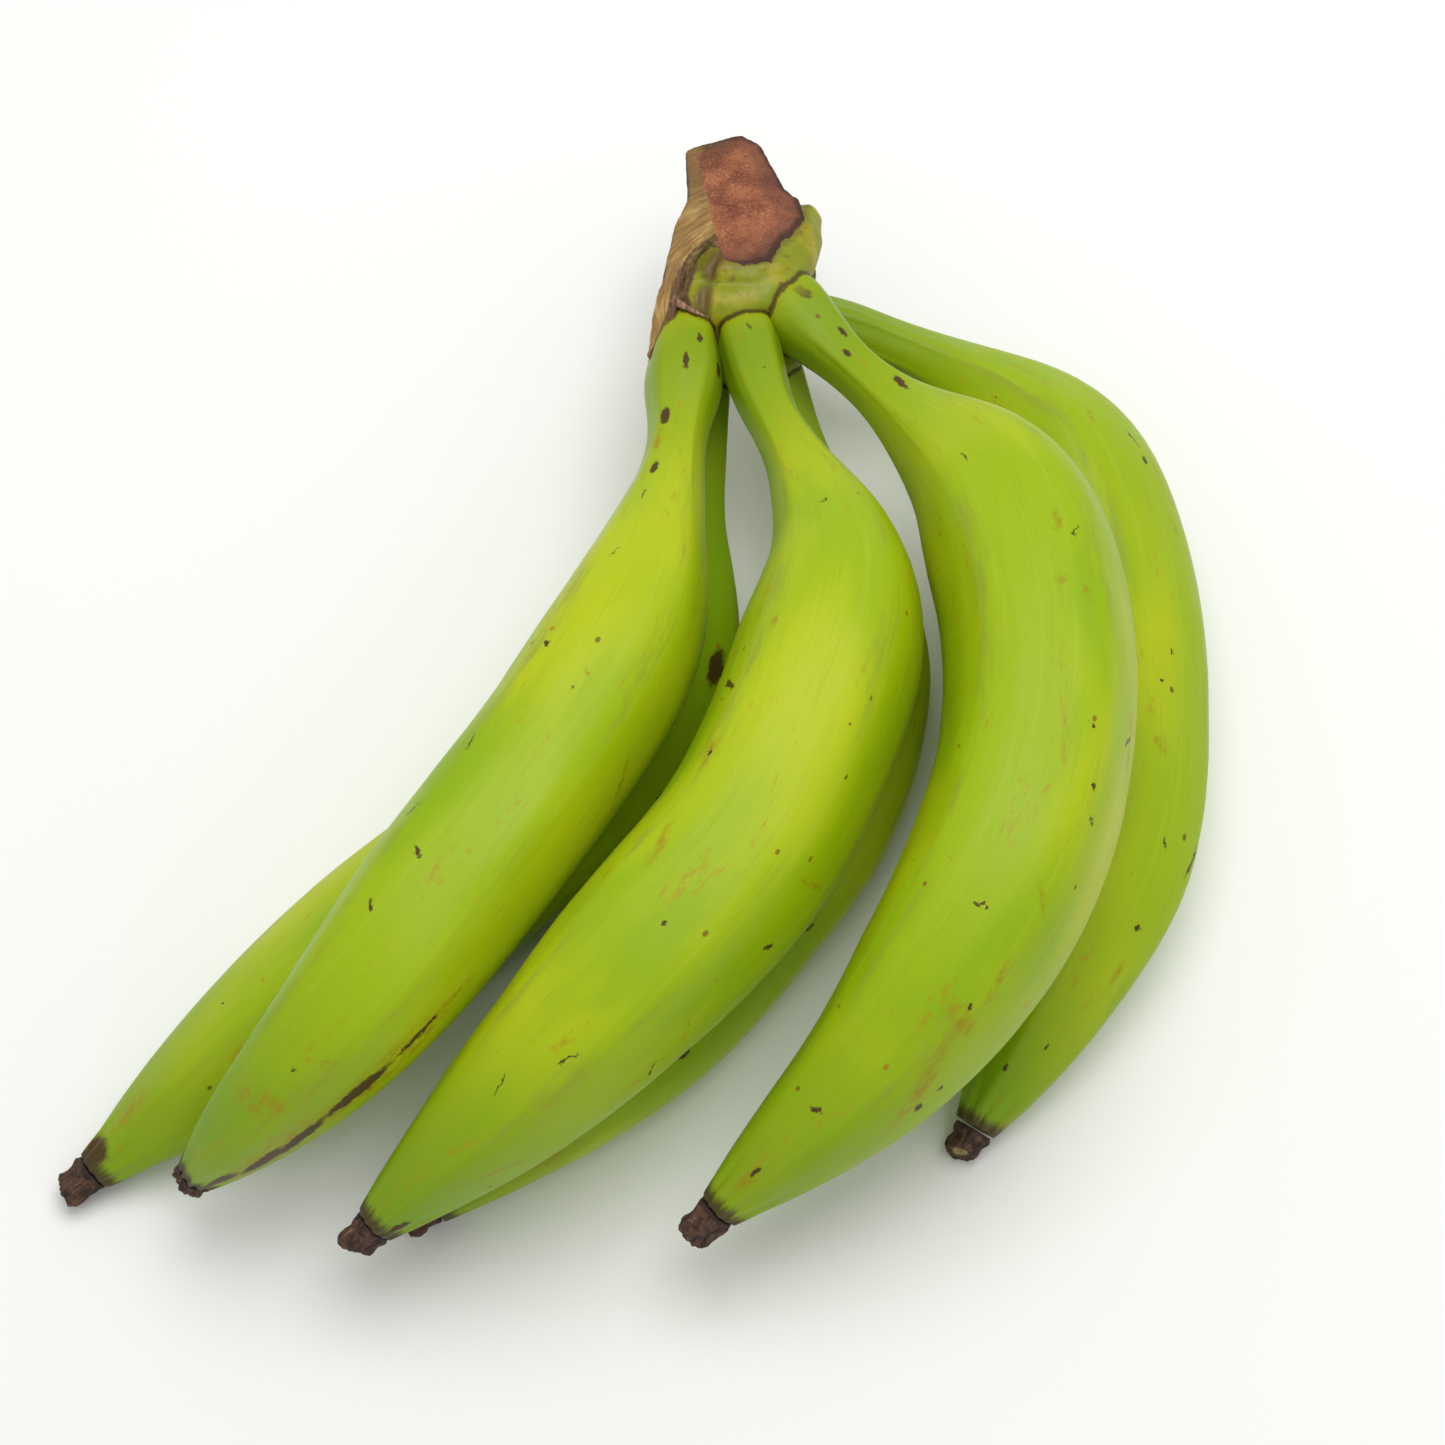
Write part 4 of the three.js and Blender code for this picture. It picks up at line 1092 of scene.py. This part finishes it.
# for each: what it grows on, hairs to a square metre, longest hair, thickness as a share of length, seed
FRAYED = [("crown_fibres", crown, "crown", "crown", 0.6e6, 1.2 * MM, 0.07, 5)]
for number, place in enumerate(PLACES):
    FRAYED.append((f"flower_fibres_{place}", stubs[place], f"flower_end_{place}", "flower_end", 0.7e6,
                   1.2 * MM, 0.08, number + 11))
for name, grown_on, node, slot, per_area, longest, thickness, start in FRAYED:
    source = bpy.data.objects.new(name + "_source", grown_on.data)
    bpy.context.scene.collection.objects.link(source)
    grower = source.modifiers.new("dry fibres", "NODES")
    grower.node_group = fray
    named = {item.name: item.identifier for item in fray.interface.items_tree if item.in_out == "INPUT"}
    grower[named["Density"]] = per_area
    grower[named["Length"]] = longest
    grower[named["Thickness"]] = thickness
    grower[named["Seed"]] = start
    grower[named["Material"]] = fibre
    bpy.context.view_layer.update()
    grown = bpy.data.meshes.new_from_object(source.evaluated_get(bpy.context.evaluated_depsgraph_get()))
    bpy.data.objects.remove(source)
    corners = np.zeros(len(grown.vertices) * 3)
    grown.vertices.foreach_get("co", corners)
    corners = np.clip(corners.reshape(-1, 3), np.array(cad_box[0]) + BOX_EDGE,
                      np.array(cad_box[1]) - BOX_EDGE)
    grown.vertices.foreach_set("co", corners.ravel())
    tuft = bpy.data.objects.new(name, grown)
    bpy.context.scene.collection.objects.link(tuft)
    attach(tuft, "root")
    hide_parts(node)

# ---------------------------------------------------------------- table, light and camera
# The hand lies on a white table under an even white sky, with one broad lamp nearly overhead. The
# camera looks down steeply from the side of the flower ends.
table_mesh = bpy.data.meshes.new("table")
table_mesh.from_pydata([(-4, -4, 0), (4, -4, 0), (4, 4, 0), (-4, 4, 0)], [], [(0, 1, 2, 3)])
table = bpy.data.objects.new("table", table_mesh)
bpy.context.scene.collection.objects.link(table)
white = bpy.data.materials.new("white table")
white.use_nodes = True
white.node_tree.nodes["Principled BSDF"].inputs["Base Color"].default_value = srgb("FAFAF8")
white.node_tree.nodes["Principled BSDF"].inputs["Roughness"].default_value = 0.9
table_mesh.materials.append(white)

sky = bpy.data.worlds.new("sky")
sky.use_nodes = True
sky.node_tree.nodes["Background"].inputs["Color"].default_value = (1, 1, 1, 1)
sky.node_tree.nodes["Background"].inputs["Strength"].default_value = 0.6
bpy.context.scene.world = sky
bpy.context.scene.view_settings.view_transform = "Standard"

lamp_data = bpy.data.lights.new("lamp", "AREA")
lamp_data.shape = "DISK"
lamp_data.size, lamp_data.energy = 0.8, 5.5
lamp = bpy.data.objects.new("lamp", lamp_data)
bpy.context.scene.collection.objects.link(lamp)
lamp.location = (0.1, 0.15, 0.98)
lamp.rotation_euler = (Vector((0, 0, 0.04)) - lamp.location).to_track_quat("-Z", "Y").to_euler()

TILT = math.radians(65)
DISTANCE = 0.770
aim = Vector((0.0182, -0.0187, 0.045))
camera = bpy.data.objects.new("camera", bpy.data.cameras.new("camera"))
bpy.context.scene.collection.objects.link(camera)
camera.data.lens = 85
camera.data.sensor_width = 36
camera.data.clip_start, camera.data.clip_end = 0.05, 20
camera.location = aim + DISTANCE * Vector((0, -math.cos(TILT), math.sin(TILT)))
camera.rotation_euler = (math.radians(90) - TILT, 0, 0)
bpy.context.scene.camera = camera

bpy.context.view_layer.update()
